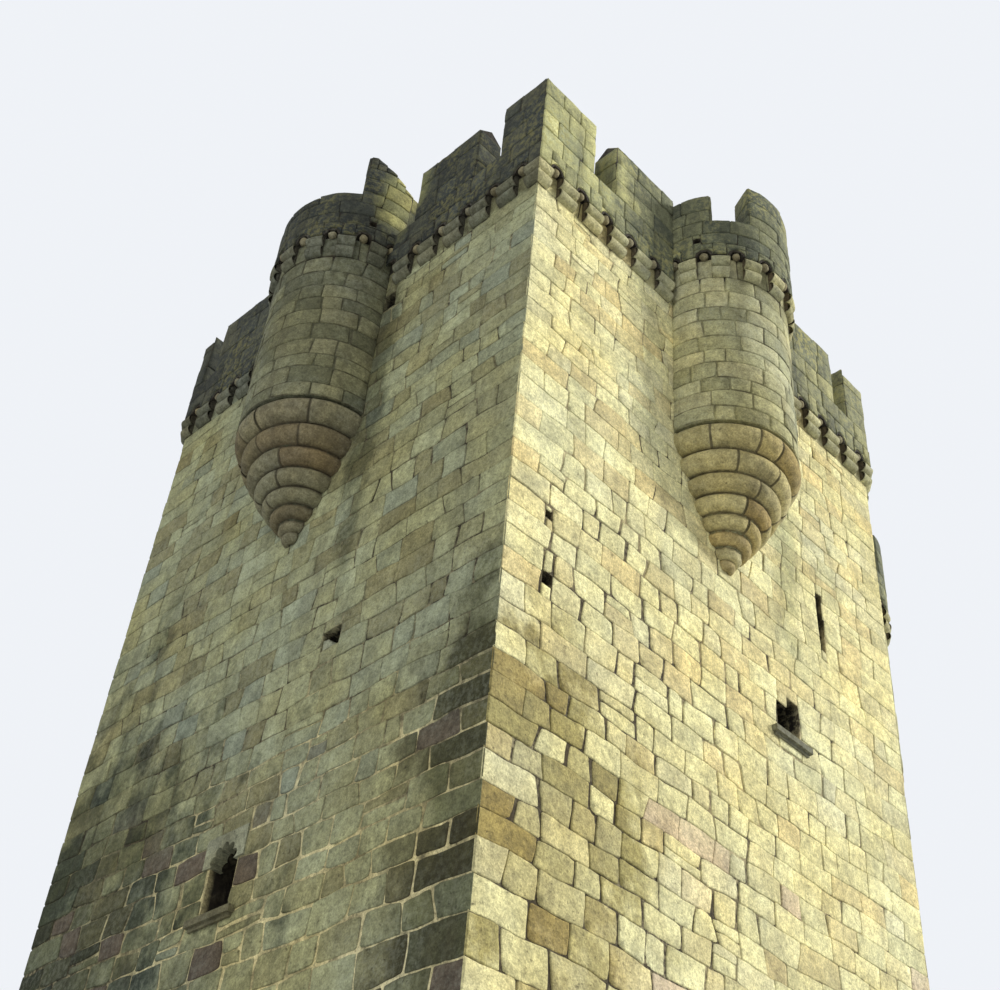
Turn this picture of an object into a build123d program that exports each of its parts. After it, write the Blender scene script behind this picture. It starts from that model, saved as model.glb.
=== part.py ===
from build123d import *
import os
from math import cos, radians, sin

# A pentagonal stone keep: two front faces meet at a right angle in a prow, two side walls run back from the
# shoulders, and a back wall closes the plan. A round bartizan on a stepped foot stands at the middle of each wall.
# Millimetres, +Z up, origin on the ground under the middle of the whole outline.
# The front right wall faces -Y, and the front left wall faces -X.

# Plan
front_length = 11000
side_length = 13400
side_splay = 4.2

# Levels above the ground
first_floor_level = 9600
second_floor_level = 14200
terrace_level = 24400
corbel_level = 24000
parapet_base = 24580
sill_level = 25600
merlon_top = 27200
worn_merlon_top = 27000

# Walls and floors
ground_thickness = 2400
ledge = 300
upper_wall_thickness = 1200
ground_floor_thickness = 200
floor_thickness = 300
terrace_thickness = 400

# Windows and doorway
reveal_depth = 600
embrasure_margin = 250
sill_height = 170
sill_projection = 120
sill_margin = 200
door_width = 1600
door_spring = 1900

# Parapet and corbel table
parapet_thickness = 600
parapet_projection = 140
ridge_rise = 250
corbel_pitch = 733
corbel_gap = 270
arch_radius = 150

# Bartizans
drum_radius = 1460
foot_radius = 1380
foot_top = 20500
ring_count = 7
first_ring_height = 480
ring_shrink = 0.865
ring_bulge = 0.26
boss_radius = 110
boss_length = 180
bartizan_corbel_level = 24520
bartizan_sill_level = 26200
bartizan_merlon_top = 27500
bartizan_gap_pitch = 24.5
bartizan_gap_count = 8
corbel_facet = 13.5
gap_facet = bartizan_gap_pitch - corbel_facet
foot_facet = 15
loophole_radius = 80
loophole_level = 25600
loophole_bearing = 66
hollow_depth = 350
low_merlon_top = 27050

bartizan_radius = drum_radius + parapet_projection
platform_radius = bartizan_radius - 550
front_left_bartizan_shift = -150
bartizan_parapet_base = bartizan_corbel_level + parapet_base - corbel_level

# The wall names follow the plan anticlockwise from the prow.
wall_names = ["front_right", "side_right", "back", "side_left", "front_left"]
FRONT_RIGHT, SIDE_RIGHT, BACK, SIDE_LEFT, FRONT_LEFT = range(5)

side_direction = radians(45 - side_splay)
shoulder = Vector(front_length, 0)
back_corner = shoulder + Vector(cos(side_direction), sin(side_direction)) * side_length
raw_plan = [Vector(0, 0), shoulder, back_corner, Vector(back_corner.Y, back_corner.X), Vector(0, front_length)]


def along(k):
    """Unit vector along wall k, anticlockwise round the plan."""
    return (raw_plan[(k + 1) % 5] - raw_plan[k % 5]).normalized()


def outward(k):
    """Unit vector out of wall k's face."""
    return Vector(along(k).Y, -along(k).X)


def moved_corner(k, distance):
    """Plan corner k where both its walls stand this far outward."""
    before = outward(k - 1)
    after = outward(k)
    return raw_plan[k % 5] + (before + after) * (distance / (1 + before.dot(after)))


# The outline reaches from the front bartizans to the parapet's back corners, alike in X and Y.
middle = (moved_corner(BACK, parapet_projection).X - bartizan_radius) / 2
centre = Vector(middle, middle)


def corner(k, distance=0):
    """Plan corner k, with both walls moved outward by the distance, in the keep's own frame."""
    return moved_corner(k, distance) - centre


def wall_length(k):
    return (corner(k + 1) - corner(k)).length


def wall_face(k, distance=0):
    """Upright plane on wall k: local X runs along the wall from its first corner, local Y is the height."""
    return Plane(origin=corner(k) + outward(k) * distance, x_dir=along(k), z_dir=outward(k))


def bartizan_place(k):
    """Distance along wall k to its bartizan's axis: the middle, or a little towards the shoulder on the front left."""
    return wall_length(k) / 2 + (front_left_bartizan_shift if k == FRONT_LEFT else 0)


def bartizan_axis(k):
    return corner(k) + along(k) * bartizan_place(k)


def strip(k, outer, inner):
    """Plan of wall k between two offsets from its face, mitred at both corners."""
    return Polyline(corner(k, outer), corner(k + 1, outer), corner(k + 1, inner), corner(k, inner), close=True)


def export(piece, name):
    piece.part.label = name
    export_step(piece.part, f"parts/{name}.step")


# Wall windows: distance along the wall to the middle, sill level, width, height to the crown, round head or not
windows = {
    FRONT_RIGHT: [(7220, 15450, 670, 850, False), (8570, 18060, 200, 1380, False)],
    FRONT_LEFT: [(front_length - 5580, 10850, 700, 1200, True)],
    SIDE_RIGHT: [(4200, 10850, 700, 1200, True), (9300, 15450, 670, 850, False)],
    SIDE_LEFT: [(side_length - 4200, 10850, 700, 1200, True), (side_length - 9300, 15450, 670, 850, False)],
    BACK: [(4600, 15450, 670, 850, False), (4600, 10850, 700, 1200, True)],
}

# Crenels: start and end of each gap along the wall
crenels = {
    FRONT_RIGHT: [(1380, 2050), (9750, 10300)],
    FRONT_LEFT: [(250, 720), (front_length - 4100, front_length - 3460), (front_length - 1720, front_length - 980)],
    SIDE_RIGHT: [(1000, 1700), (3700, 4400), (9000, 9700), (11700, 12400)],
    SIDE_LEFT: [(1000, 1700), (3700, 4400), (9000, 9700), (11700, 12400)],
    BACK: [(1300, 2000), (4000, 4700), (12800, 13500), (15500, 16200)],
}

# Worn merlons at both shoulders, where the parapet's top is level and lower: start and end along the wall
worn_merlons = {
    FRONT_RIGHT: (10300, front_length + 1000), SIDE_RIGHT: (-1000, 1000),
    FRONT_LEFT: (-1000, 250), SIDE_LEFT: (12400, side_length + 1000),
}

# Bartizan merlons: bearings from straight out of the wall, and the top of each
whole_ring = [(-95, -56, bartizan_merlon_top), (-34, 34, bartizan_merlon_top), (56, 95, bartizan_merlon_top)]
merlons = {k: whole_ring for k in range(5)}
merlons[FRONT_RIGHT] = [(-95, -56, low_merlon_top), (-25, 34, bartizan_merlon_top), whole_ring[2]]

# The front left bartizan has lost its merlons but one: stumps of uneven height, and a tall one worn to a slope
merlons[FRONT_LEFT] = [
    (-95, -70, 26350), (-70, -30, 26500), (-30, 20, 26420), (20, 54, 26480), (54, 60, 27800), (60, 68, 27620),
    (68, 77, 27440), (77, 86, 27260), (86, 95, 27120),
]

# Hollows where a stone is missing: distance along the wall and level of the middle, width, height
hollows = {
    FRONT_RIGHT: [(960, 15090, 220, 260), (910, 16350, 160, 180)],
    FRONT_LEFT: [(front_length - 3880, 15200, 450, 380), (front_length - 4010, 23600, 350, 450)],
}


def window_sketch(plane, along_wall, sill, width, height, round_head, margin=0):
    """Outline of a window on a wall plane, widened by the margin for its embrasure."""
    half = width / 2 + margin
    spring = sill + height - (width / 2 if round_head else 0)
    with BuildSketch(plane) as outline:
        with BuildLine():
            head = Line((along_wall + half, sill), (along_wall + half, spring))
            if round_head:
                crown = ThreePointArc(head @ 1, (along_wall, spring + half), (along_wall - half, spring))
            else:
                crown = Line(head @ 1, (along_wall - half, spring))
            Polyline(crown @ 1, (along_wall - half, sill), head @ 0)
        make_face()
    return outline.sketch


def build_wall(k):
    """A wall in four stages, thinner above each ledge that carries a floor, with its windows cut through."""
    stages = [
        (0, first_floor_level - floor_thickness, ground_thickness),
        (first_floor_level - floor_thickness, second_floor_level - floor_thickness, ground_thickness - ledge),
        (second_floor_level - floor_thickness, terrace_level - terrace_thickness, ground_thickness - 2 * ledge),
        (terrace_level - terrace_thickness, terrace_level, upper_wall_thickness),
    ]
    with BuildPart() as wall:
        for bottom, top, thickness in stages:
            with BuildSketch(Plane.XY.offset(bottom)):
                with BuildLine():
                    strip(k, 0, -thickness)
                make_face()
            extrude(amount=top - bottom)
        for window in windows[k]:
            extrude(window_sketch(wall_face(k), *window), amount=-ground_thickness, mode=Mode.SUBTRACT)
            embrasure = window_sketch(wall_face(k, -reveal_depth), *window, margin=embrasure_margin)
            extrude(embrasure, amount=-ground_thickness, mode=Mode.SUBTRACT)
        for place, level, width, height in hollows.get(k, []):
            with BuildSketch(wall_face(k)):
                with Locations((place, level)):
                    Rectangle(width, height)
            extrude(amount=-hollow_depth, mode=Mode.SUBTRACT)
    return wall


def build_sill(k, along_wall, sill, width):
    """A projecting window sill in two steps."""
    with BuildPart() as piece:
        with BuildSketch(wall_face(k)):
            with Locations((along_wall, sill - sill_height / 3)):
                Rectangle(width + 2 * sill_margin, 2 * sill_height / 3)
        extrude(amount=sill_projection)
        with BuildSketch(wall_face(k)):
            with Locations((along_wall, sill - 5 * sill_height / 6)):
                Rectangle(width + 1.6 * sill_margin, sill_height / 3)
        extrude(amount=sill_projection / 2)
    return piece


def build_floor(inset, top, thickness):
    """A level floor that fills the plan inside the walls."""
    with BuildPart() as floor:
        with BuildSketch(Plane.XY.offset(top - thickness)):
            with BuildLine():
                Polyline(*[corner(k, -inset) for k in range(5)], close=True)
            make_face()
        extrude(amount=thickness)
    return floor


def gap_places(k):
    """Middles of the gaps between the corbels of wall k."""
    count = round(wall_length(k) / corbel_pitch)
    pitch = wall_length(k) / count
    return [(n + 0.5) * pitch for n in range(count)]


def section_plane(k):
    """Plane across wall k at its middle: local X is outward, local Y is the height."""
    return Plane(origin=corner(k) + along(k) * wall_length(k) / 2, x_dir=outward(k), z_dir=-along(k))


def drum_plane(k, level):
    """Level plane at the bartizan's axis: local X runs along the wall, local Y into it."""
    return Plane(origin=bartizan_axis(k) + Vector(0, 0, level), x_dir=along(k), z_dir=(0, 0, 1))


def bearing_point(bearing, radius):
    """Point at a bearing from straight out of the wall, round the bartizan's axis, in the drum plane."""
    return (radius * sin(radians(bearing)), -radius * cos(radians(bearing)))


# Bearings of the round parapet's upright edges: a broad flat over each corbel and a narrow one over each gap
facet_bearings = [n * bartizan_gap_pitch + side * corbel_facet / 2 for n in range(-5, 6) for side in (-1, 1)]


def facet_corners(radius):
    """Corners of the round parapet's flats at a radius, in the drum plane."""
    return [bearing_point(bearing, radius) for bearing in facet_bearings]


def flat_centre(k, bearing, radius, width, level):
    """Middle of a flat of the round parapet, and its outward direction."""
    out = outward(k).rotate(Axis.Z, bearing)
    return bartizan_axis(k) + out * (radius * cos(radians(width / 2))) + Vector(0, 0, level), out


def build_parapet(k):
    """A wall's parapet: overhanging breast wall on small arches, merlons with ridged tops."""
    inner = parapet_projection - parapet_thickness
    ridge = parapet_projection - parapet_thickness / 2
    half_reach = wall_length(k) / 2 + parapet_thickness * 2
    with BuildPart() as parapet:
        with BuildSketch(section_plane(k)):
            with BuildLine():
                Polyline(
                    (inner, terrace_level), (0, terrace_level), (0, parapet_base),
                    (parapet_projection, parapet_base), (parapet_projection, merlon_top),
                    (ridge, merlon_top + ridge_rise), (inner, merlon_top), close=True,
                )
            make_face()
        extrude(amount=half_reach, both=True)
        with BuildSketch(Plane.XY.offset(terrace_level)):
            with BuildLine():
                strip(k, 2 * parapet_projection, -2 * parapet_thickness)
            make_face()
        extrude(amount=2 * (merlon_top - terrace_level), mode=Mode.INTERSECT)
        for start, end in crenels[k]:
            with BuildSketch(wall_face(k, parapet_projection)):
                with Locations(((start + end) / 2, sill_level)):
                    Rectangle(end - start, 2 * merlon_top, align=(Align.CENTER, Align.MIN))
            extrude(amount=-2 * parapet_thickness, mode=Mode.SUBTRACT)
        if k in worn_merlons:
            start, end = worn_merlons[k]
            with BuildSketch(wall_face(k, 2 * parapet_projection)):
                with Locations(((start + end) / 2, worn_merlon_top)):
                    Rectangle(end - start, merlon_top, align=(Align.CENTER, Align.MIN))
            extrude(amount=-3 * parapet_thickness, mode=Mode.SUBTRACT)
        with BuildSketch(wall_face(k)):
            with Locations(*[(place, parapet_base) for place in gap_places(k)]):
                RegularPolygon(arch_radius, 6)
        extrude(amount=parapet_projection, mode=Mode.SUBTRACT)
        with BuildSketch(drum_plane(k, terrace_level)):
            with BuildLine():
                Polyline(*facet_corners(bartizan_radius), close=True)
            make_face()
        extrude(amount=merlon_top, mode=Mode.SUBTRACT)
    return parapet


def roll_section(foot):
    """Outline of two stacked rolls, as flats, that stand out from the line X = 0, from the foot level up."""
    roll = (parapet_base - corbel_level) / 2
    reach = parapet_projection
    Polyline(
        (0, foot), (0.65 * reach, foot + 0.25 * roll), (0.65 * reach, foot + 0.75 * roll),
        (0.15 * reach, foot + roll), (reach, foot + 1.25 * roll), (reach, foot + 1.75 * roll),
        (0.5 * reach, foot + 2 * roll), (0, foot + 2 * roll), close=True,
    )


def build_corbel_table(k):
    """Corbels of two stacked rolls under a wall's parapet, with a gap under each small arch."""
    with BuildPart() as table:
        with BuildSketch(section_plane(k)):
            with BuildLine():
                roll_section(corbel_level)
            make_face()
        extrude(amount=wall_length(k) / 2 + parapet_thickness, both=True)
        with BuildSketch(Plane.XY.offset(corbel_level)):
            with BuildLine():
                strip(k, 2 * parapet_projection, -parapet_projection)
            make_face()
        extrude(amount=parapet_base - corbel_level, mode=Mode.INTERSECT)
        with BuildSketch(wall_face(k)):
            with Locations(*[(place, corbel_level) for place in gap_places(k)]):
                Rectangle(corbel_gap, 2 * (parapet_base - corbel_level))
        extrude(amount=2 * parapet_projection, mode=Mode.SUBTRACT)
        with BuildSketch(drum_plane(k, corbel_level)):
            with BuildLine():
                Polyline(*facet_corners(bartizan_radius), close=True)
            make_face()
        extrude(amount=parapet_base - corbel_level, mode=Mode.SUBTRACT)
    return table


def foot_outline():
    """Radius and level of each edge down the foot: bulging rings that shrink downward, and a small boss."""
    level = foot_top
    height = first_ring_height
    step = (foot_radius - boss_radius) / ring_count
    outline = [(foot_radius, foot_top)]
    for ring in range(ring_count):
        radius = outline[-1][0]
        chord = Vector(step, height)
        out = Vector(height, -step) * ring_bulge
        for part in (0.28, 0.72):
            outline.append((radius - chord.X * part + 0.82 * out.X, level - chord.Y * part + 0.82 * out.Y))
        outline.append((radius - step, level - height))
        level -= height
        height *= ring_shrink
    outline.append((0.9 * boss_radius, level - boss_length / 2))
    outline.append((boss_radius / 3, level - boss_length))
    return outline


def build_foot_flat(k, bearing):
    """One upright slice of the foot, flat-faced, that faces a bearing."""
    out = outward(k).rotate(Axis.Z, bearing)
    apothem = cos(radians(foot_facet / 2))
    outline = foot_outline()
    sides = [bearing_point(bearing + side * foot_facet / 2, 2 * foot_radius) for side in (-1, 1)]
    with BuildPart() as flat:
        with BuildSketch(Plane(origin=bartizan_axis(k), x_dir=out, z_dir=out.cross(Vector(0, 0, 1)))):
            with BuildLine():
                edge = [(radius * apothem, level) for radius, level in outline]
                Polyline((0, foot_top), *edge, (0, outline[-1][1]), close=True)
            make_face()
        extrude(amount=foot_radius, both=True)
        with BuildSketch(drum_plane(k, 0)):
            with BuildLine():
                Polyline((0, 0), *sides, close=True)
            make_face()
        extrude(amount=merlon_top, mode=Mode.INTERSECT)
    return flat


def build_foot(k):
    """The bartizan's corbelled foot of stacked rings, set out as a row of flats round its axis."""
    count = 180 // foot_facet
    flats = [build_foot_flat(k, (n - (count - 1) / 2) * foot_facet) for n in range(count)]
    with BuildPart() as foot:
        for flat in flats:
            add(flat.part)
    return foot


def build_drum(k):
    """The bartizan's plain round shaft, flat where it stands against the wall."""
    with BuildPart() as drum:
        with BuildSketch(drum_plane(k, foot_top)):
            Circle(drum_radius)
        extrude(amount=terrace_level - foot_top)
        split(bisect_by=wall_face(k), keep=Keep.TOP)
    return drum


def build_bartizan_corbels(k):
    """The ring of roll corbels under the bartizan's parapet."""
    count = bartizan_gap_count - 1
    half_width = drum_radius * sin(radians(corbel_facet / 2))
    with BuildPart() as ring:
        for n in range(count):
            bearing = (n - (count - 1) / 2) * bartizan_gap_pitch
            place, out = flat_centre(k, bearing, drum_radius, corbel_facet, 0)
            with BuildSketch(Plane(origin=place, x_dir=out, z_dir=Vector(0, 0, 1).cross(out) * -1)):
                with BuildLine():
                    roll_section(bartizan_corbel_level)
                make_face()
            extrude(amount=half_width, both=True)
    return ring


def build_bartizan_parapet(k):
    """The bartizan's round parapet: open towards the terrace, with merlons, arches and two loopholes."""
    inner_edge = parapet_thickness - parapet_projection
    gaps = [(n - (bartizan_gap_count - 1) / 2) * bartizan_gap_pitch for n in range(bartizan_gap_count)]
    with BuildPart() as parapet:
        with BuildSketch(drum_plane(k, terrace_level)):
            with BuildLine():
                Polyline(*facet_corners(bartizan_radius), *facet_corners(platform_radius)[::-1], close=True)
            make_face()
        extrude(amount=bartizan_sill_level - terrace_level)
        with BuildSketch(drum_plane(k, terrace_level)):
            Rectangle(4 * bartizan_radius, 2 * bartizan_radius, align=(Align.CENTER, Align.MAX))
            with BuildLine():
                Polyline(*facet_corners(drum_radius), close=True)
            make_face(mode=Mode.SUBTRACT)
        extrude(amount=bartizan_parapet_base - terrace_level, mode=Mode.SUBTRACT)
        for start, end, merlon_level in merlons[k]:
            reach = 2 * bartizan_radius
            with BuildSketch(drum_plane(k, bartizan_sill_level)):
                with BuildLine():
                    Polyline(*facet_corners(bartizan_radius), *facet_corners(platform_radius)[::-1], close=True)
                make_face()
                with BuildLine():
                    Polyline(
                        (0, 0), bearing_point(start, reach), bearing_point((start + end) / 2, reach),
                        bearing_point(end, reach), close=True,
                    )
                make_face(mode=Mode.INTERSECT)
            extrude(amount=merlon_level - bartizan_sill_level)
        split(bisect_by=wall_face(k, -inner_edge), keep=Keep.TOP)
        for bearing in gaps:
            place, out = flat_centre(k, bearing, drum_radius, gap_facet, bartizan_parapet_base)
            with BuildSketch(Plane(origin=place, x_dir=out.cross(Vector(0, 0, 1)), z_dir=out)):
                RegularPolygon(arch_radius, 6)
            extrude(amount=2 * parapet_projection, mode=Mode.SUBTRACT)
        for bearing in (-loophole_bearing, loophole_bearing):
            place, out = flat_centre(k, bearing, 0, 0, loophole_level)
            with BuildSketch(Plane(origin=place, x_dir=out.cross(Vector(0, 0, 1)), z_dir=out)):
                RegularPolygon(loophole_radius, 8)
            extrude(amount=2 * bartizan_radius, mode=Mode.SUBTRACT)
    return parapet


def build_back_pieces():
    """The back wall, split beside and over its round-headed doorway."""
    door_middle = wall_length(BACK) / 2
    spring = door_spring
    pieces = {}
    for name, start, end in (("right", -2 * front_length, door_middle - door_width / 2),
                             ("left", door_middle + door_width / 2, 4 * front_length)):
        whole = build_wall(BACK)
        with BuildPart() as piece:
            add(whole.part)
            with BuildSketch(wall_face(BACK, ground_thickness)):
                with Locations(((start + end) / 2, 0)):
                    Rectangle(end - start, 2 * merlon_top)
            extrude(amount=-3 * ground_thickness, mode=Mode.INTERSECT)
        pieces[name] = piece
    whole = build_wall(BACK)
    with BuildPart() as over:
        add(whole.part)
        with BuildSketch(wall_face(BACK, ground_thickness)):
            with Locations((door_middle, spring)):
                Rectangle(door_width, 2 * merlon_top, align=(Align.CENTER, Align.MIN))
        extrude(amount=-3 * ground_thickness, mode=Mode.INTERSECT)
        with BuildSketch(wall_face(BACK, ground_thickness)):
            with Locations((door_middle, spring)):
                Circle(door_width / 2)
        extrude(amount=-3 * ground_thickness, mode=Mode.SUBTRACT)
    pieces["over_door"] = over
    return pieces


os.makedirs("parts", exist_ok=True)

for k in (FRONT_RIGHT, SIDE_RIGHT, SIDE_LEFT, FRONT_LEFT):
    export(build_wall(k), f"{wall_names[k]}_wall")
for name, piece in build_back_pieces().items():
    export(piece, f"back_wall_{name}")

export(build_floor(ground_thickness, ground_floor_thickness, ground_floor_thickness), "ground_floor")
export(build_floor(ground_thickness - ledge, first_floor_level, floor_thickness), "first_floor")
export(build_floor(ground_thickness - 2 * ledge, second_floor_level, floor_thickness), "second_floor")
export(build_floor(upper_wall_thickness, terrace_level, terrace_thickness), "terrace_floor")

export(build_sill(FRONT_RIGHT, *windows[FRONT_RIGHT][0][:3]), "front_right_window_sill")
export(build_sill(FRONT_LEFT, *windows[FRONT_LEFT][0][:3]), "front_left_window_sill")

for k in range(5):
    export(build_parapet(k), f"{wall_names[k]}_parapet")
    export(build_corbel_table(k), f"{wall_names[k]}_corbels")
    export(build_foot(k), f"{wall_names[k]}_bartizan_foot")
    export(build_drum(k), f"{wall_names[k]}_bartizan_drum")
    export(build_bartizan_corbels(k), f"{wall_names[k]}_bartizan_corbels")
    export(build_bartizan_parapet(k), f"{wall_names[k]}_bartizan_parapet")
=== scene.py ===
import math
import random

import bpy
import numpy as np
from mathutils import Matrix, Vector


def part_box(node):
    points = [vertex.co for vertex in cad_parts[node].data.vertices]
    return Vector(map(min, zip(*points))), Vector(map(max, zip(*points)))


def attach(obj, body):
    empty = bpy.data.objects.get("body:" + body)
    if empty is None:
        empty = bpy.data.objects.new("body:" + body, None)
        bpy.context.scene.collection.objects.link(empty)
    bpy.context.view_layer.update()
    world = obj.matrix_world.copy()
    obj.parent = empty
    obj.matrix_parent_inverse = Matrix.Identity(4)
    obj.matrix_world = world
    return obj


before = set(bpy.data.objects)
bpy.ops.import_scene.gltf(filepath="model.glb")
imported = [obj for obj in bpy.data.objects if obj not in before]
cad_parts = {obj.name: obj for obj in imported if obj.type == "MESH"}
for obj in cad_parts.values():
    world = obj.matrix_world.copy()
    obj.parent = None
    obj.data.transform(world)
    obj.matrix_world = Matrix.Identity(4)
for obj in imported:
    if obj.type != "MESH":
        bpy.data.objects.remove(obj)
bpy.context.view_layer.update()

bl_info = {
    "name": "Pentagonal keep",
    "version": (1, 0, 0),
    "blender": (4, 5, 0),
    "location": "3D View > Sidebar > Keep",
    "description": "Dresses the stone keep with its ashlar, carved rings, weathering and stage",
    "category": "Object",
}

# Plan, in metres: the same driving sizes as the part
FRONT_LENGTH = 11.0
SIDE_LENGTH = 13.4
SIDE_SPLAY = math.radians(4.2)

# Levels above the ground
CORBEL_LEVEL = 24.0
TERRACE_LEVEL = 24.4
PARAPET_BASE = 24.58
SILL_LEVEL = 25.6
MERLON_TOP = 27.2
WORN_TOP = 27.0
RIDGE_RISE = 0.25

# Parapet. The laid arches are a little wider than those of the solids.
PARAPET_THICKNESS = 0.6
PROJECTION = 0.14
CORBEL_PITCH = 0.733
CORBEL_HALF_GAP = 0.135
ARCH_RADIUS = 0.185
ARCH_FRAME = 0.2

# Bartizans
DRUM_RADIUS = 1.46
BARTIZAN_RADIUS = DRUM_RADIUS + PROJECTION
PLATFORM_RADIUS = BARTIZAN_RADIUS - 0.55
FOOT_RADIUS = 1.38
FOOT_TOP = 20.5
RING_COUNT = 7
FIRST_RING_HEIGHT = 0.48
RING_SHRINK = 0.865
RING_SWELL = 0.33
BOSS_RADIUS = 0.11
BOSS_LENGTH = 0.18
BARTIZAN_CORBELS = 24.52
BARTIZAN_BASE = BARTIZAN_CORBELS + PARAPET_BASE - CORBEL_LEVEL
BARTIZAN_SILL = 26.2
BARTIZAN_TOP = 27.5
INNER_RADIUS = PLATFORM_RADIUS - 0.03
LOOPHOLE_BEARING = 66
LOOPHOLE_RADIUS = 0.08
LOOPHOLE_LEVELS = (25.52, 25.68)

# Bearings round a bartizan, in degrees from straight out of its wall: width of a corbel, turn from one corbel
# to the next, middles of the gaps, and where each kind of stonework stops
CORBEL_FACET = 13.5
CORBEL_TURN = 24.5
GAP_BEARINGS = [(n - 3.5) * CORBEL_TURN for n in range(8)]
DRUM_END = 90
RING_END = 91
PARAPET_END = 94
INNER_END = 112

# Mean heights of the courses, apart from the walls' own
BREAST_COURSE = 0.5
MERLON_COURSE = 0.46
DRUM_COURSE = 0.4
ROUND_COURSE = 0.42
PLATFORM_COURSE = 0.45

WALL_NAMES = ["front_right", "side_right", "back", "side_left", "front_left"]
FRONT_RIGHT, SIDE_RIGHT, BACK, SIDE_LEFT, FRONT_LEFT = range(5)

# Windows in each wall: start, end, sill and head. Those in the lower row have round heads.
UPPER_ROW = (15.45, 16.3)
LOWER_ROW = (10.85, 12.05)
WINDOWS = {
    FRONT_RIGHT: [(6.885, 7.555, *UPPER_ROW), (8.47, 8.67, 18.06, 19.44)],
    FRONT_LEFT: [(FRONT_LENGTH - 5.93, FRONT_LENGTH - 5.23, *LOWER_ROW)],
    SIDE_RIGHT: [(3.85, 4.55, *LOWER_ROW), (8.965, 9.635, *UPPER_ROW)],
    SIDE_LEFT: [(8.85, 9.55, *LOWER_ROW), (3.765, 4.435, *UPPER_ROW)],
    BACK: [(4.265, 4.935, *UPPER_ROW), (4.25, 4.95, *LOWER_ROW)],
}

# Notch over the front right window: start, end, lower and upper level
NOTCH = (6.885, 7.19, 16.3, 16.46)

# Doorway in the middle of the back wall
DOOR_HALF_WIDTH = 0.8
DOOR_HEIGHT = 2.7

# Gaps in the straight parapets: start and end along the wall
CRENELS = {
    FRONT_RIGHT: [(1.38, 2.05), (9.75, 10.3)],
    FRONT_LEFT: [(0.25, 0.72), (6.9, 7.54), (9.28, 10.02)],
    SIDE_RIGHT: [(1.0, 1.7), (3.7, 4.4), (9.0, 9.7), (11.7, 12.4)],
    SIDE_LEFT: [(1.0, 1.7), (3.7, 4.4), (9.0, 9.7), (11.7, 12.4)],
    BACK: [(1.3, 2.0), (4.0, 4.7), (12.8, 13.5), (15.5, 16.2)],
}
# Worn merlons at the shoulders, level on top: start and end along the wall
WORN_MERLONS = {
    FRONT_RIGHT: (10.3, 12.0), SIDE_RIGHT: (-1.0, 1.0), FRONT_LEFT: (-1.0, 0.25), SIDE_LEFT: (12.4, 14.4),
}

# Merlons of the round parapets: start and end bearing, and top
WHOLE_RING = [(-95, -56, BARTIZAN_TOP), (-34, 34, BARTIZAN_TOP), (56, 95, BARTIZAN_TOP)]
MERLONS = {k: WHOLE_RING for k in range(5)}
MERLONS[FRONT_RIGHT] = [(-95, -56, 27.05), (-25, 34, BARTIZAN_TOP), WHOLE_RING[2]]
MERLONS[FRONT_LEFT] = [
    (-95, -70, 26.35), (-70, -30, 26.5), (-30, 20, 26.42), (20, 54, 26.48), (54, 60, 27.8), (60, 68, 27.62),
    (68, 77, 27.44), (77, 86, 27.26), (86, 95, 27.12),
]

# Hollows where a stone is missing: start, end, lower and upper level
HOLLOWS = {
    FRONT_RIGHT: [(0.85, 1.07, 14.96, 15.22), (0.83, 0.99, 16.26, 16.44)],
    FRONT_LEFT: [(6.895, 7.345, 15.01, 15.39), (6.815, 7.165, 23.375, 23.825)],
}

# Upper level of a hole that is open to the sky
OPEN_ABOVE = 99


def plan_corners():
    """Corners of the plan anticlockwise from the prow, which is the front walls' common lowest corner."""
    prow = Vector((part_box("front_left_wall")[0].x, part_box("front_right_wall")[0].y, 0))
    angle = math.pi / 4 - SIDE_SPLAY
    run = Vector((FRONT_LENGTH + SIDE_LENGTH * math.cos(angle), SIDE_LENGTH * math.sin(angle), 0))
    return [
        prow,
        prow + Vector((FRONT_LENGTH, 0, 0)),
        prow + run,
        prow + Vector((run.y, run.x, 0)),
        prow + Vector((0, FRONT_LENGTH, 0)),
    ]


PLAN = plan_corners()
UP = np.array((0.0, 0.0, 1.0))

# Width of the worn edge round each stone
ARRIS = 0.03

# Shortest run of stones that ends in a quoin
QUOIN_RUN = 2


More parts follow.
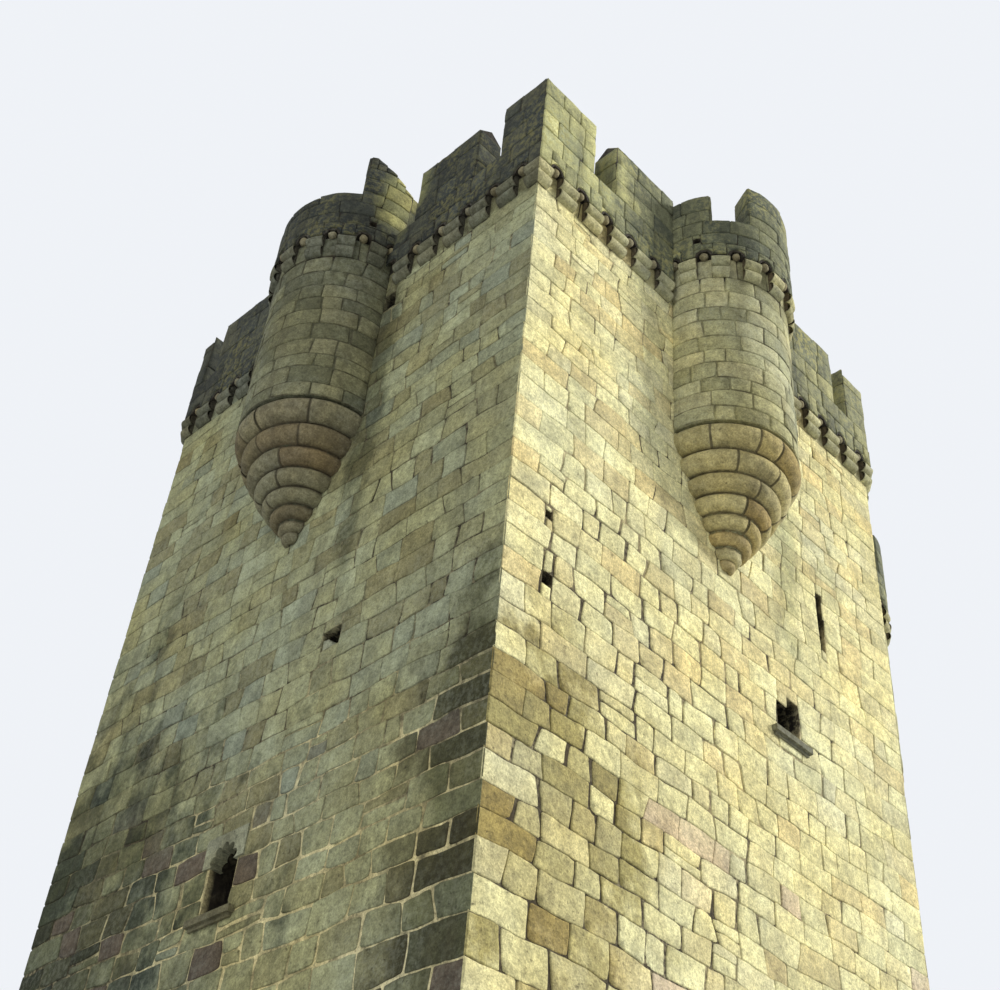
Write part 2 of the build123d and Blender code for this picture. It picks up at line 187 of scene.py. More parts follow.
class Wall:
    """One side of the plan: where it starts, which way it runs and which way it faces."""

    def __init__(self, k):
        self.index = k
        self.name = WALL_NAMES[k]
        # Sunny walls take the copies of materials with painted sun in their colours, the rest those with
        # painted shade.
        self.sunny = k in (FRONT_RIGHT, SIDE_RIGHT)
        self.start = np.array(PLAN[k])
        run = np.array(PLAN[(k + 1) % 5]) - self.start
        self.length = float(np.linalg.norm(run))
        self.along = run / self.length
        self.out = np.array((self.along[1], -self.along[0], 0.0))
        self.bartizan = self.length / 2 - (0.15 if k == FRONT_LEFT else 0)
        self.axis = self.start + self.along * self.bartizan
        self.mitres = [self.half_turn(k), self.half_turn((k + 1) % 5)]

    def half_turn(self, corner):
        """Tangent of half the turn at a corner: how far a wall's end moves per metre that it stands out."""
        before = (PLAN[corner] - PLAN[corner - 1]).normalized()
        after = (PLAN[(corner + 1) % 5] - PLAN[corner]).normalized()
        return math.tan(before.angle(after) / 2)

    def ends(self, lift):
        """Both ends of the wall's length where its surface stands this far out."""
        return -lift * self.mitres[0], self.length + lift * self.mitres[1]

    def face(self, lift=0.0):
        """Surface of the wall: distance along, height."""
        return lambda s, z: self.start + self.out * lift + np.outer(s, self.along) + np.outer(z, UP)

    def inner_face(self, lift):
        """The same plane seen from inside, with its distance counted the other way."""
        return lambda s, z: (self.start + self.out * lift + np.outer(self.length - s, self.along)
                             + np.outer(z, UP))

    def across(self, s, facing):
        """Upright surface across the wall at a distance along it: distance outward, height."""
        base = self.start + self.along * s
        return lambda d, z: base + np.outer(d * facing, self.out) + np.outer(z, UP)

    def slope(self, low_lift, low_z, high_lift, high_z):
        """Sloping surface along the wall between two lines: distance along, 0 to 1 up the slope."""
        low = self.out * low_lift + UP * low_z
        rise = self.out * (high_lift - low_lift) + UP * (high_z - low_z)
        return lambda s, t: self.start + low + np.outer(s, self.along) + np.outer(t, rise)

    def moulding(self, profile, left=None, right=None):
        """Surface along the wall with a profile of depth and height, mitred where an end is not given."""
        def place(u, t):
            lift, z = profile(t)
            low = -lift * self.mitres[0] if left is None else left
            high = self.length + lift * self.mitres[1] if right is None else right
            s = low + (high - low) * u
            return self.start + np.outer(s, self.along) + np.outer(lift, self.out) + np.outer(z, UP)
        return place

    def ray(self, bearing):
        """Directions from the bartizan's axis at bearings in degrees."""
        angle = np.radians(bearing)
        return np.outer(np.sin(angle), self.along) + np.outer(np.cos(angle), self.out)

    def drum(self, radius):
        """Round surface about the bartizan's axis: bearing in degrees, height."""
        return lambda bearing, z: self.axis + radius * self.ray(bearing) + np.outer(z, UP)

    def drum_inside(self, radius):
        """The inner side of a round parapet: bearing counted the other way, height."""
        outside = self.drum(radius)
        return lambda bearing, z: outside(-bearing, z)

    def drum_cheek(self, bearing, facing):
        """Upright surface through a round parapet: radius, height."""
        return lambda d, z: self.axis + self.ray(bearing) * np.reshape(d * facing, (-1, 1)) + np.outer(z, UP)

    def ring(self, profile):
        """Round surface with a profile that gives radius and height for 0 to 1."""
        def place(bearing, t):
            radius, z = profile(t)
            return self.axis + self.ray(bearing) * np.reshape(radius, (-1, 1)) + np.outer(z, UP)
        return place


def bulge(low, high, sag):
    """Arc from a low to a high point that swells out by a share of its chord, as a function of 0 to 1."""
    low, high = np.array(low), np.array(high)
    chord = high - low
    length = float(np.linalg.norm(chord))
    rise = length * sag
    radius = (length / 2) ** 2 / (2 * rise) + rise / 2
    half = math.asin(min(1.0, length / 2 / radius))
    if rise > length / 2:
        half = math.pi - half
    away = np.array((chord[1], -chord[0])) / length
    centre = (low + high) / 2 + away * (rise - radius)

    def profile(t):
        turn = (2 * np.asarray(t) - 1) * half
        points = (centre + np.outer(np.cos(turn) * radius, away)
                  + np.outer(np.sin(turn) * radius, chord / length))
        return points[:, 0], points[:, 1]
    return profile


WALLS = [Wall(k) for k in range(5)]


# Setting out: every stone is a small grid of faces on the surface that it belongs to

class Setting:
    """Collects the faces of many stones before they are raised into blocks. The seed decides their sizes."""

    def __init__(self, seed):
        self.seed = seed
        self.rng = random.Random(seed)
        self.points = []
        self.faces = []
        self.rims = []
        self.count = 0

    def add(self, place, corners, columns, rows, size=(1.0, 1.0), wobble=None, radii=None,
            bare=(False, False), soft=(ARRIS, ARRIS)):
        """Adds one stone between four corners, anticlockwise from the lower left, in the surface's measures.
        A bare side, left or right, is a corner of the keep: it has no joint. Soft is how wide the worn edge is
        across and up the stone."""
        u = spaced(columns, ARRIS / max(size[0], 4 * ARRIS))
        v = spaced(rows, ARRIS / max(size[1], 4 * ARRIS))
        uu, vv = (grid.ravel() for grid in np.meshgrid(u, v))
        left = np.ones_like(uu) if bare[0] else uu * size[0] / soft[0]
        right = np.ones_like(uu) if bare[1] else (1 - uu) * size[0] / soft[0]
        bed = np.minimum(vv, 1 - vv) * size[1] / soft[1]
        self.rims.append(np.clip(1 - np.minimum(np.minimum(left, right), bed), 0, 1))
        if radii:
            uu, vv = rounded(uu, vv, size, radii)
        corners = np.array(corners, float)
        weights = np.stack([(1 - uu) * (1 - vv), uu * (1 - vv), uu * vv, (1 - uu) * vv])
        flat = weights.T @ corners
        if wobble:
            flat = wobble(flat)
        self.points.append(place(flat[:, 0], flat[:, 1]))
        across = len(u)
        cells = (np.arange(len(v) - 1)[:, None] * across + np.arange(across - 1)).ravel() + self.count
        self.faces.append(np.stack([cells, cells + 1, cells + 1 + across, cells + across], axis=1))
        self.count += len(uu)

    def mesh(self, name):
        mesh = bpy.data.meshes.new(name)
        mesh.from_pydata(np.concatenate(self.points).tolist(), [], np.concatenate(self.faces).tolist())
        rim = mesh.attributes.new("rim", "FLOAT", "POINT")
        rim.data.foreach_set("value", np.concatenate(self.rims).astype(np.float32))
        return mesh


def rounded(uu, vv, size, radii):
    """Pulls the corners of a stone's grid in, each to its own radius, in the order of the quad's corners."""
    x, y = uu * size[0], vv * size[1]
    for radius, (right, top) in zip(radii, ((0, 0), (1, 0), (1, 1), (0, 1))):
        radius = max(0.001, min(min(size) / 2.2, radius))
        dx = radius - (size[0] - x if right else x)
        dy = radius - (size[1] - y if top else y)
        reach = np.hypot(dx, dy)
        shrink = np.where((dx > 0) & (dy > 0) & (reach > radius), radius / np.maximum(reach, 1e-9), 1.0)
        x = x - dx * (1 - shrink) if right else x + dx * (1 - shrink)
        y = y - dy * (1 - shrink) if top else y + dy * (1 - shrink)
    return x / size[0], y / size[1]


def spaced(cells, edge):
    """Places from 0 to 1, with a narrow first and last step for the worn arris."""
    return np.concatenate([[0.0], np.linspace(edge, 1 - edge, cells - 1), [1.0]])


def course_levels(low, high, height, rng, taper=0.0):
    """Bed joints from low to high, for courses of about the given height that shrink upward by the taper."""
    count = max(1, round((high - low) / height))
    steps = [rng.uniform(0.82, 1.18) * (1 + taper * (0.5 - n / count)) for n in range(count)]
    scale = (high - low) / sum(steps)
    levels = [low]
    for step in steps:
        levels.append(levels[-1] + step * scale)
    return levels


def stone_joints(start, end, length, rng):
    """Upright joints from start to end, for stones that vary about the given length."""
    count = max(1, round((end - start) / length))
    steps = [rng.uniform(0.6, 1.45) for n in range(count)]
    scale = (end - start) / sum(steps)
    joints = [start]
    for step in steps:
        joints.append(joints[-1] + step * scale)
    return joints


def wobbler(seed, size, start, end, unit=1.0):
    """Smooth wandering of the joints over a whole surface, still at both its ends."""
    phase = seed * 1.7
    fade = 0.5
    waves = [(1.9, 2.7, 0.45), (-4.6, 3.9, 0.3), (9.7, 7.3, 0.17), (14.1, -17.3, 0.1)]

    def wobble(flat):
        s, z = flat[:, 0] * unit, flat[:, 1]
        still = np.clip((s - start * unit) / fade, 0, 1) * np.clip((end * unit - s) / fade, 0, 1)
        ds = sum(share * np.sin(a * s + b * z + phase) for a, b, share in waves)
        dz = sum(share * np.sin(b * s - a * z + 2 * phase) for a, b, share in waves)
        return np.stack([flat[:, 0] + size * ds * still / unit, flat[:, 1] + size * dz * still], axis=1)
    return wobble


class BedLine:
    """A bed joint that wanders a little along the wall and is true at its ends."""

    def __init__(self, level, start, end, wander, rng):
        self.level = level
        self.start = start
        self.end = end
        self.waves = []
        for n in (2, 3, 5):
            self.waves.append((wander * rng.uniform(0.3, 1) / n, n))
            rng.random()  # Passes over one number, on which the sizes of the later stones depend

    def __call__(self, s):
        part = min(max((s - self.start) / (self.end - self.start), 0), 1)
        return self.level + sum(size * math.sin(math.pi * part * n) for size, n in self.waves)


def runs_between(start, end, low, high, holes):
    """Stretches of one course beside, under and over the openings that cross it."""
    least = 0.05
    runs = []
    cursor = start
    for left, right, bottom, top in sorted(holes):
        if bottom >= high - least or top <= low + least or right <= start or left >= end:
            continue
        left, right = max(left, start), min(right, end)
        if left - cursor > least:
            runs.append((cursor, left, low, high))
        if bottom - low > least:
            runs.append((left, right, low, bottom))
        if high - top > least:
            runs.append((left, right, top, high))
        cursor = right
    if end - cursor > least:
        runs.append((cursor, end, low, high))
    return runs


def lay_courses(setting, place, start, end, levels, style, holes=(), quoins=(None, None), skip=None):
    """Lays coursed ashlar on a surface. Quoins name the course parity whose end stone is the long one."""
    rng = setting.rng
    style = {**style, "wobble": wobbler(rng.random(), style["wobble"], start, end, style["unit"])}
    beds = [BedLine(level, start, end, style["wander"], rng) for level in levels]
    beds[0] = BedLine(levels[0], start, end, 0, rng)
    beds[-1] = BedLine(levels[-1], start, end, 0, rng)
    for n, (under, over) in enumerate(zip(beds, beds[1:])):
        for left, right, low, high in runs_between(start, end, under.level, over.level, holes):
            first, last = left, right
            joints = [left]
            if quoins[0] is not None and left == start and right - left > QUOIN_RUN:
                first = left + style["quoin"][(n + quoins[0]) % 2] * rng.uniform(0.85, 1.15)
                joints.append(first)
            tail = []
            if quoins[1] is not None and right == end and right - left > QUOIN_RUN:
                last = right - style["quoin"][(n + quoins[1]) % 2] * rng.uniform(0.85, 1.15)
                tail = [right]
            length = style["length"] * (1 + style["taper"] * (0.5 - n / len(levels)))
            joints += stone_joints(first, last, length, rng)[1:] + tail
            lean = [0] + [rng.gauss(0, style["lean"]) for joint in joints[1:-1]] + [0]
            full = low == under.level and high == over.level
            for (a, lean_a), (b, lean_b) in zip(zip(joints, lean), zip(joints[1:], lean[1:])):
                if skip and skip(a, b, low, high):
                    continue
                low_a, low_b = (under(a), under(b)) if full else (low, low)
                high_a, high_b = (over(a), over(b)) if full else (high, high)
                quad = [(a - lean_a, low_a), (b - lean_b, low_b), (b + lean_b, high_b), (a + lean_a, high_a)]
                bare = (a == start and quoins[0] is not None, b == end and quoins[1] is not None)
                lay_stone(setting, place, quad, style, bare)


def lay_stone(setting, place, quad, style, bare=(False, False)):
    """Adds one stone, or now and then two thin ones, inside the joints that bound it."""
    rng = setting.rng
    width = quad[1][0] - quad[0][0]
    height = quad[3][1] - quad[0][1]
    if height > 0.3 and width > 0.4 and not any(bare) and rng.random() < style["split"]:
        cut = rng.uniform(0.35, 0.65)
        left = mixed(quad[0], quad[3], cut)
        right = mixed(quad[1], quad[2], cut)
        for half in ([quad[0], quad[1], right, left], [left, right, quad[2], quad[3]]):
            lay_stone(setting, place, half, {**style, "split": 0})
        return
    unit = style["unit"]
    gap, rise, worn = style["joint"](*quad[0], rng)
    sides = [0 if bare[0] else gap / unit, 0 if bare[1] else -gap / unit]
    inset = [(sides[0], rise), (sides[1], rise), (sides[1], -rise), (sides[0], -rise)]
    corners = []
    radii = []
    for n, ((s, z), (ds, dz)) in enumerate(zip(quad, inset)):
        knocked = rng.random() < style["knocked"] * worn
        corners.append((s + ds * rng.uniform(0.4, 1.3), z + dz * rng.uniform(0.5, 1.2)))
        radius = rng.uniform(0.008, 0.03) + (rng.uniform(0.03, 0.09) if knocked else 0)
        radii.append(0.002 if bare[n in (1, 2)] else radius)
    columns = min(max(round(width * unit / style["grid"]) + 2, 3), 12)
    rows = max(3, round(height / style["grid"]) + 1)
    setting.add(place, corners, columns, rows, (width * unit, height), style["wobble"], radii, bare)


def upright(left, right, low, high):
    """Corners of a quad with level and upright sides, anticlockwise from the lower left."""
    return [(left, low), (right, low), (right, high), (left, high)]


def mixed(a, b, t):
    return (a[0] + (b[0] - a[0]) * t, a[1] + (b[1] - a[1]) * t)


# Node helpers

def add_node(tree, kind, **inputs):
    """Adds a node. An input is a value or an output socket to link from, by name or by place as iNUMBER.
    setting_NAME sets a property first. Colours are (red, green, blue)."""
    node = tree.nodes.new(kind)
    for name, value in inputs.items():
        if name.startswith("setting_"):
            setattr(node, name[8:], value)
    for name, value in inputs.items():
        if name.startswith("setting_"):
            continue
        socket = node.inputs[int(name[1:])] if name[0] == "i" and name[1:].isdigit() else node.inputs[
            name.replace("_", " ")]
        if isinstance(value, bpy.types.NodeSocket):
            tree.links.new(value, socket)
        else:
            socket.default_value = (*value, 1.0) if socket.type == "RGBA" else value
    return node


def maths(tree, operation, a, b):
    return add_node(tree, "ShaderNodeMath", setting_operation=operation, i0=a, i1=b).outputs[0]


def times(tree, a, b):
    return maths(tree, "MULTIPLY", a, b)


def vector_maths(tree, operation, *vectors):
    """Outputs of a vector node: its vector first, and its number as Value."""
    inputs = {f"i{n}": vector for n, vector in enumerate(vectors)}
    return add_node(tree, "ShaderNodeVectorMath", setting_operation=operation, **inputs).outputs


def blended(tree, factor, a, b, how="MIX"):
    node = add_node(tree, "ShaderNodeMix", setting_data_type="RGBA", setting_blend_type=how, i0=factor, i6=a,
                    i7=b)
    return node.outputs[2]


def mapped(tree, value, low, high, to_low=0.0, to_high=1.0):
    node = add_node(tree, "ShaderNodeMapRange", setting_clamp=True, Value=value, From_Min=low, From_Max=high,
                    To_Min=to_low, To_Max=to_high)
    return node.outputs[0]


def noise(tree, coordinates, scale, detail=4.0, roughness=0.55):
    node = add_node(tree, "ShaderNodeTexNoise", Vector=coordinates, Scale=scale, Detail=detail,
                    Roughness=roughness)
    return node.outputs["Fac"]


def attribute(tree, name):
    return add_node(tree, "ShaderNodeAttribute", setting_attribute_name=name).outputs["Fac"]


def own_place(tree):
    """Place on the object, in metres."""
    return add_node(tree, "ShaderNodeTexCoord").outputs["Object"]


def new_group(name, sockets):
    """Node group with the named sockets, each (name, direction, type, default)."""
    group = bpy.data.node_groups.new(name, "ShaderNodeTree")
    for socket_name, direction, kind, default in sockets:
        socket = group.interface.new_socket(name=socket_name, in_out=direction,
                                            socket_type="NodeSocket" + kind)
        if default is not None:
            socket.default_value = (*default, 1.0) if kind == "Color" else default
    source = group.nodes.new("NodeGroupInput")
    sink = group.nodes.new("NodeGroupOutput")
    return group, source.outputs, sink.inputs


# Stone raised by geometry nodes

def geometry_tree(name, floats):
    """Geometry node tree that takes a mesh, the named numbers, a seed and a material."""
    tree = bpy.data.node_groups.new(name, "GeometryNodeTree")
    tree.interface.new_socket(name="Geometry", in_out="OUTPUT", socket_type="NodeSocketGeometry")
    kinds = [("Geometry", "Geometry"), *((number, "Float") for number in floats), ("Seed", "Int"),
             ("Material", "Material")]
    for socket_name, kind in kinds:
        tree.interface.new_socket(name=socket_name, in_out="INPUT", socket_type="NodeSocket" + kind)
    return tree, tree.nodes.new("NodeGroupInput").outputs


def finish_tree(tree, geometry, material):
    """Gives the geometry its material and makes it the tree's result."""
    finished = add_node(tree, "GeometryNodeSetMaterial", Geometry=geometry, Material=material)
    tree.links.new(finished.outputs[0], tree.nodes.new("NodeGroupOutput").inputs[0])


def random_number(tree, low, high, seed, **inputs):
    node = add_node(tree, "FunctionNodeRandomValue", setting_data_type="FLOAT", i2=low, i3=high, Seed=seed,
                    **inputs)
    return node.outputs["Value"]


def moved_out(tree, mesh, distance, **inputs):
    """Moves a mesh's points along their normals."""
    normal = add_node(tree, "GeometryNodeInputNormal").outputs[0]
    offset = add_node(tree, "ShaderNodeVectorMath", setting_operation="SCALE", i0=normal, Scale=distance)
    moved = add_node(tree, "GeometryNodeSetPosition", Geometry=mesh, Offset=offset.outputs[0], **inputs)
    return moved.outputs[0]


def stone_tree():
    """Raises each patch of a setting-out mesh into a block with worn arrises, a rough face and a tone."""
    numbers = ("Depth", "Depth spread", "Arris wear", "Roughness", "Roughness scale")
    tree, source = geometry_tree("Dressed stones", numbers)
    island = add_node(tree, "GeometryNodeInputMeshIsland").outputs["Island Index"]
    geometry = source["Geometry"]
    for name, shift in (("tone", 0.0), ("shade", 3.0)):
        value = random_number(tree, 0.0, 1.0, maths(tree, "ADD", source["Seed"], shift), ID=island)
        stored = add_node(tree, "GeometryNodeStoreNamedAttribute", setting_data_type="FLOAT",
                          setting_domain="POINT", Geometry=geometry, Name=name, Value=value)
        geometry = stored.outputs[0]
    spread = random_number(tree, -1.0, 1.0, maths(tree, "ADD", source["Seed"], 7.0), ID=island)
    depth = maths(tree, "ADD", source["Depth"], times(tree, spread, source["Depth spread"]))
    raised = add_node(tree, "GeometryNodeExtrudeMesh", setting_mode="FACES", Mesh=geometry,
                      Offset_Scale=depth, Individual=False)
    rim = add_node(tree, "GeometryNodeInputNamedAttribute", setting_data_type="FLOAT", Name="rim").outputs[0]
    position = add_node(tree, "GeometryNodeInputPosition").outputs[0]
    unevenness = times(tree, noise(tree, position, 6.0, 2.0, 0.5), 2.0)
    wear = times(tree, rim, times(tree, source["Arris wear"], unevenness))
    lumps = noise(tree, position, source["Roughness scale"], 3.0, 0.6)
    rough = times(tree, maths(tree, "SUBTRACT", lumps, 0.5), source["Roughness"])
    worn = moved_out(tree, raised.outputs["Mesh"], maths(tree, "SUBTRACT", rough, wear),
                     Selection=raised.outputs["Top"])
    real = add_node(tree, "GeometryNodeRealizeInstances", Geometry=worn)
    finish_tree(tree, real.outputs[0], source["Material"])


def ball_tree():
    """Puts a worn stone ball on each point of a mesh."""
    tree, source = geometry_tree("Stone balls", ["Radius"])
    ball = add_node(tree, "GeometryNodeMeshIcoSphere", Radius=source["Radius"], Subdivisions=3)
    placed = add_node(tree, "GeometryNodeInstanceOnPoints", Points=source["Geometry"],
                      Instance=ball.outputs["Mesh"], Scale=random_number(tree, 0.85, 1.1, source["Seed"]))
    real = add_node(tree, "GeometryNodeRealizeInstances", Geometry=placed.outputs[0])
    position = add_node(tree, "GeometryNodeInputPosition").outputs[0]
    pits = maths(tree, "SUBTRACT", noise(tree, position, 11.0, 2.0, 0.5), 0.6)
    worn = moved_out(tree, real.outputs[0], times(tree, pits, 0.05))
    smooth = add_node(tree, "GeometryNodeSetShadeSmooth", Geometry=worn)
    finish_tree(tree, smooth.outputs[0], source["Material"])


def put(name, data):
    """Adds an object to the scene."""
    item = bpy.data.objects.new(name, data)
    bpy.context.scene.collection.objects.link(item)
    return item


def grow(name, mesh, tree, material, slot, inputs):
    """Runs a geometry node tree on a mesh and keeps the result as a plain piece on the root body."""
    carrier = put(name + "_setting", mesh)
    modifier = carrier.modifiers.new("Nodes", "NODES")
    modifier.node_group = bpy.data.node_groups[tree]
    values = {**inputs, "Material": bpy.data.materials[material]}
    for item in modifier.node_group.interface.items_tree:
        if item.in_out == "INPUT" and item.name in values:
            modifier[item.identifier] = values[item.name]
    evaluated = carrier.evaluated_get(bpy.context.evaluated_depsgraph_get())
    result = bpy.data.meshes.new_from_object(evaluated)
    bpy.data.objects.remove(carrier)
    result.name = name
    result.shade_smooth()
    piece = put(name, result)
    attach(piece, "root")


# Materials

DARK_DIRT = (0.060, 0.048, 0.030)
YELLOW_LICHEN = (0.36, 0.33, 0.12)
GREY_LICHEN = (0.24, 0.25, 0.19)
CREAM_MORTAR = (0.80, 0.71, 0.39)
# Painted shade deep in the reveals of the walls' openings
WINDOW_PAINTED_SHADE = (0.022, 0.018, 0.012)


def blotch_group():
    """Blotch with a ragged edge round a place, one inside and zero outside: a stain, or painted light or
    shade.
    """
    group, given, made = new_group("Stain", [
        ("Centre", "INPUT", "Vector", (0.0, 0.0, 0.0)),
        ("Size", "INPUT", "Vector", (1.0, 1.0, 1.0)),
        ("Raggedness", "INPUT", "Float", 0.8),
        ("Amount", "OUTPUT", "Float", None),
    ])
    place = own_place(group)
    apart = vector_maths(group, "SUBTRACT", place, given["Centre"])[0]
    scaled = vector_maths(group, "DIVIDE", apart, given["Size"])[0]
    reach = vector_maths(group, "LENGTH", scaled)["Value"]
    waves = maths(group, "SUBTRACT", noise(group, place, 1.1, 4.0, 0.65), 0.5)
    rag = times(group, waves, given["Raggedness"])
    edge = maths(group, "ADD", reach, times(group, rag, 2.0))
    group.links.new(mapped(group, edge, 1.05, 0.6), made["Amount"])


def blotch_amount(tree, centre, size):
    """How far a blotch covers each place, 0 to 1: a stain, a mortar patch, or painted light or shade."""
    blotch_node = add_node(tree, "ShaderNodeGroup", setting_node_tree=bpy.data.node_groups["Stain"], Centre=centre,
                     Size=size, Raggedness=0.8)
    return blotch_node.outputs["Amount"]


def weather_group():
    """Stone weathering: grain, warm and pale patches, lichen, dirt in some of the joints and streaks."""
    group, given, made = new_group("Stone weathering", [
        ("Colour", "INPUT", "Color", (0.5, 0.45, 0.35)),
        ("Dirt colour", "INPUT", "Color", (0.1, 0.09, 0.07)),
        ("Lichen colour", "INPUT", "Color", (0.4, 0.38, 0.2)),
        ("Dirt", "INPUT", "Float", 0.5),
        ("Lichen", "INPUT", "Float", 0.3),
        ("Streaks", "INPUT", "Float", 0.3),
        ("Even joints", "INPUT", "Float", 0.0),
        ("Colour", "OUTPUT", "Color", None),
        ("Roughness", "OUTPUT", "Float", None),
        ("Height", "OUTPUT", "Float", None),
    ])
    place = own_place(group)
    grain = noise(group, place, 30.0, 6.0, 0.75)
    lumps = noise(group, place, 9.0, 5.0, 0.7)
    mottle = noise(group, place, 3.4, 5.0, 0.65)
    patch = noise(group, place, 1.2, 5.0, 0.7)
    broad = noise(group, place, 0.42, 4.0, 0.6)
    tint = given["Colour"]
    waves = ((grain, 0.64, 1.3), (lumps, 0.72, 1.22), (mottle, 0.78, 1.16), (patch, 0.82, 1.12))
    for wave, dark, light in waves:
        tint = blended(group, 1.0, tint, mapped(group, wave, 0.34, 0.66, dark, light), "MULTIPLY")
    warmth = blended(group, mapped(group, broad, 0.36, 0.64), (1.02, 0.97, 0.84), (0.99, 1.01, 1.06))
    tint = blended(group, 1.0, tint, warmth, "MULTIPLY")
    by_stone = mapped(group, attribute(group, "shade"), 0.0, 1.0, 0.85, 1.1)
    tint = blended(group, 1.0, tint, by_stone, "MULTIPLY")
    growth = times(group, mapped(group, lumps, 0.46, 0.6), mapped(group, broad, 0.4, 0.6))
    tint = blended(group, times(group, growth, given["Lichen"]), tint, given["Lichen colour"])
    stretched = add_node(group, "ShaderNodeMapping", Vector=place, Scale=(1.6, 1.6, 0.16)).outputs[0]
    streak = mapped(group, noise(group, stretched, 1.0, 5.0, 0.65), 0.5, 0.72)
    open_joint = mapped(group, noise(group, place, 1.3, 4.0, 0.7), 0.42, 0.62)
    open_joint = maths(group, "MAXIMUM", open_joint, given["Even joints"])
    edge = times(group, mapped(group, attribute(group, "rim"), 0.3, 1.0), open_joint)
    dirt = maths(group, "MAXIMUM", times(group, edge, given["Dirt"]),
                 times(group, streak, given["Streaks"]))
    pits = mapped(group, noise(group, place, 14.0, 5.0, 0.75), 0.62, 0.72)
    dirt = maths(group, "MAXIMUM", dirt, times(group, pits, 0.6))
    tint = blended(group, dirt, tint, given["Dirt colour"])
    group.links.new(tint, made["Colour"])
    group.links.new(mapped(group, mottle, 0.3, 0.7, 0.82, 0.97), made["Roughness"])
    bumps = maths(group, "ADD", times(group, grain, 0.35), times(group, lumps, 1.3))
    bumps = maths(group, "ADD", bumps, mottle)
    group.links.new(maths(group, "SUBTRACT", bumps, times(group, pits, 0.6)), made["Height"])


def palette(tree, factor, tones):
    """Colour ramp that runs evenly through the tones."""
    ramp = add_node(tree, "ShaderNodeValToRGB", Fac=factor)
    elements = ramp.color_ramp.elements
    while len(elements) < len(tones):
        elements.new(0.5)
    for n, (element, tone) in enumerate(zip(elements, tones)):
        element.position = n / (len(tones) - 1)
        element.color = (*tone, 1.0)
    return ramp.outputs["Color"]


def stone_material(name, tones, levels, dirt=DARK_DIRT, lichen=GREY_LICHEN, rare=None, stains_and_painted_light=()):
    """A stone whose colour comes from each block's own tone, weathered by the shared group.
    Levels are how much dirt, lichen, streaks and even joints. Rare is a colour of some low stones. The
    blotches
    tint the colour: real stains, painted shade and painted sunlight."""
    material = bpy.data.materials.new(name)
    material.use_nodes = True
    tree = material.node_tree
    shader = tree.nodes["Principled BSDF"]
    shader.inputs["Specular IOR Level"].default_value = 0.2
    base = palette(tree, attribute(tree, "tone"), tones) if len(tones) > 1 else tones[0]
    # Blotches that tint the base: real stains, painted shade and painted sunlight, as the material's list
    # gives them.
    for centre, size, tint, by_stone in stains_and_painted_light:
        amount = blotch_amount(tree, centre, size)
        if by_stone:
            amount = times(tree, amount, mapped(tree, attribute(tree, "shade"), 0.25, 0.6))
        base = blended(tree, amount, base, blended(tree, 1.0, base, tint, "MULTIPLY"))
    if rare:
        height = add_node(tree, "ShaderNodeSeparateXYZ", Vector=own_place(tree)).outputs["Z"]
        few = mapped(tree, attribute(tree, "shade"), 0.93, 0.935)
        base = blended(tree, times(tree, few, mapped(tree, height, 14.0, 12.0)), base, rare)
    weather = add_node(tree, "ShaderNodeGroup", setting_node_tree=bpy.data.node_groups["Stone weathering"],
                       Colour=base, Dirt_colour=dirt, Lichen_colour=lichen, Dirt=levels[0], Lichen=levels[1],
                       Streaks=levels[2], Even_joints=levels[3])
    relief = add_node(tree, "ShaderNodeBump", Strength=0.9, Distance=0.03, Height=weather.outputs["Height"])
    tree.links.new(weather.outputs["Colour"], shader.inputs["Base Color"])
    tree.links.new(weather.outputs["Roughness"], shader.inputs["Roughness"])
    tree.links.new(relief.outputs[0], shader.inputs["Normal"])
    return material


def mortar_material(wall):
    """The wall behind its ashlar: pale mortar here, dark gaps there, and painted shade deep in the reveals of
    its openings.
    """
    mortar = MORTARS[wall.sunny]
    levels = (0.0, 0.3, 0.3, 0.0)
    material = stone_material("mortar_" + wall.name, [mortar["pale"]], levels, lichen=CREAM_MORTAR)
    tree = material.node_tree
    weather = next(node for node in tree.nodes if node.type == "GROUP")
    place = own_place(tree)
    apart = vector_maths(tree, "SUBTRACT", place, tuple(wall.start))[0]
    depth = vector_maths(tree, "DOT_PRODUCT", apart, tuple(-wall.out))["Value"]
    gaps = mapped(tree, noise(tree, place, 0.9, 5.0, 0.7), 0.43, 0.54)
    for centre, size in mortar["open"]:
        gaps = maths(tree, "MAXIMUM", gaps, blotch_amount(tree, centre, size))
    tint = blended(tree, gaps, mortar["pale"], mortar["gap"])
    for centre, size in mortar["cream"]:
        kept = mapped(tree, noise(tree, place, 1.9, 5.0, 0.75), 0.38, 0.52, 0.3, 1.0)
        tint = blended(tree, times(tree, blotch_amount(tree, centre, size), kept), tint, CREAM_MORTAR)
    # Painted shade in the reveals: darkest from 13 cm to 1 m back from the wall's face.
    inside = times(tree, mapped(tree, depth, 0.01, 0.13), mapped(tree, depth, 1.17, 1.0))
    tree.links.new(blended(tree, inside, tint, WINDOW_PAINTED_SHADE), weather.inputs["Colour"])


PROW = PLAN[0]

# Behind the ashlar, shaded and sunny: colours of the pale mortar and of a dark gap, and where gaps prevail and
# where the mortar is cream, each as (centre, size). The shaded mortar is darker by painted shade.
MORTARS = {
    False: dict(pale=(0.24, 0.23, 0.13), gap=(0.06, 0.052, 0.032),
                open=[((PROW.x, PROW.y + 0.9, 14.8), (1.5, 0.7, 2.2))],
                cream=[((PROW.x, PROW.y + 4.0, 9.6), (1.5, 5.2, 4.6))]),
    True: dict(pale=(0.62, 0.53, 0.28), gap=(0.07, 0.055, 0.03),
               open=[((PROW.x + 2.0, PROW.y, 11.0), (3.4, 2.0, 7.5))], cream=[]),
}

# The band of shade under the corbels, all round: centre, size
CORBEL_SHADE = ((0.0, 0.0, CORBEL_LEVEL + 0.4), (100.0, 100.0, 0.45))
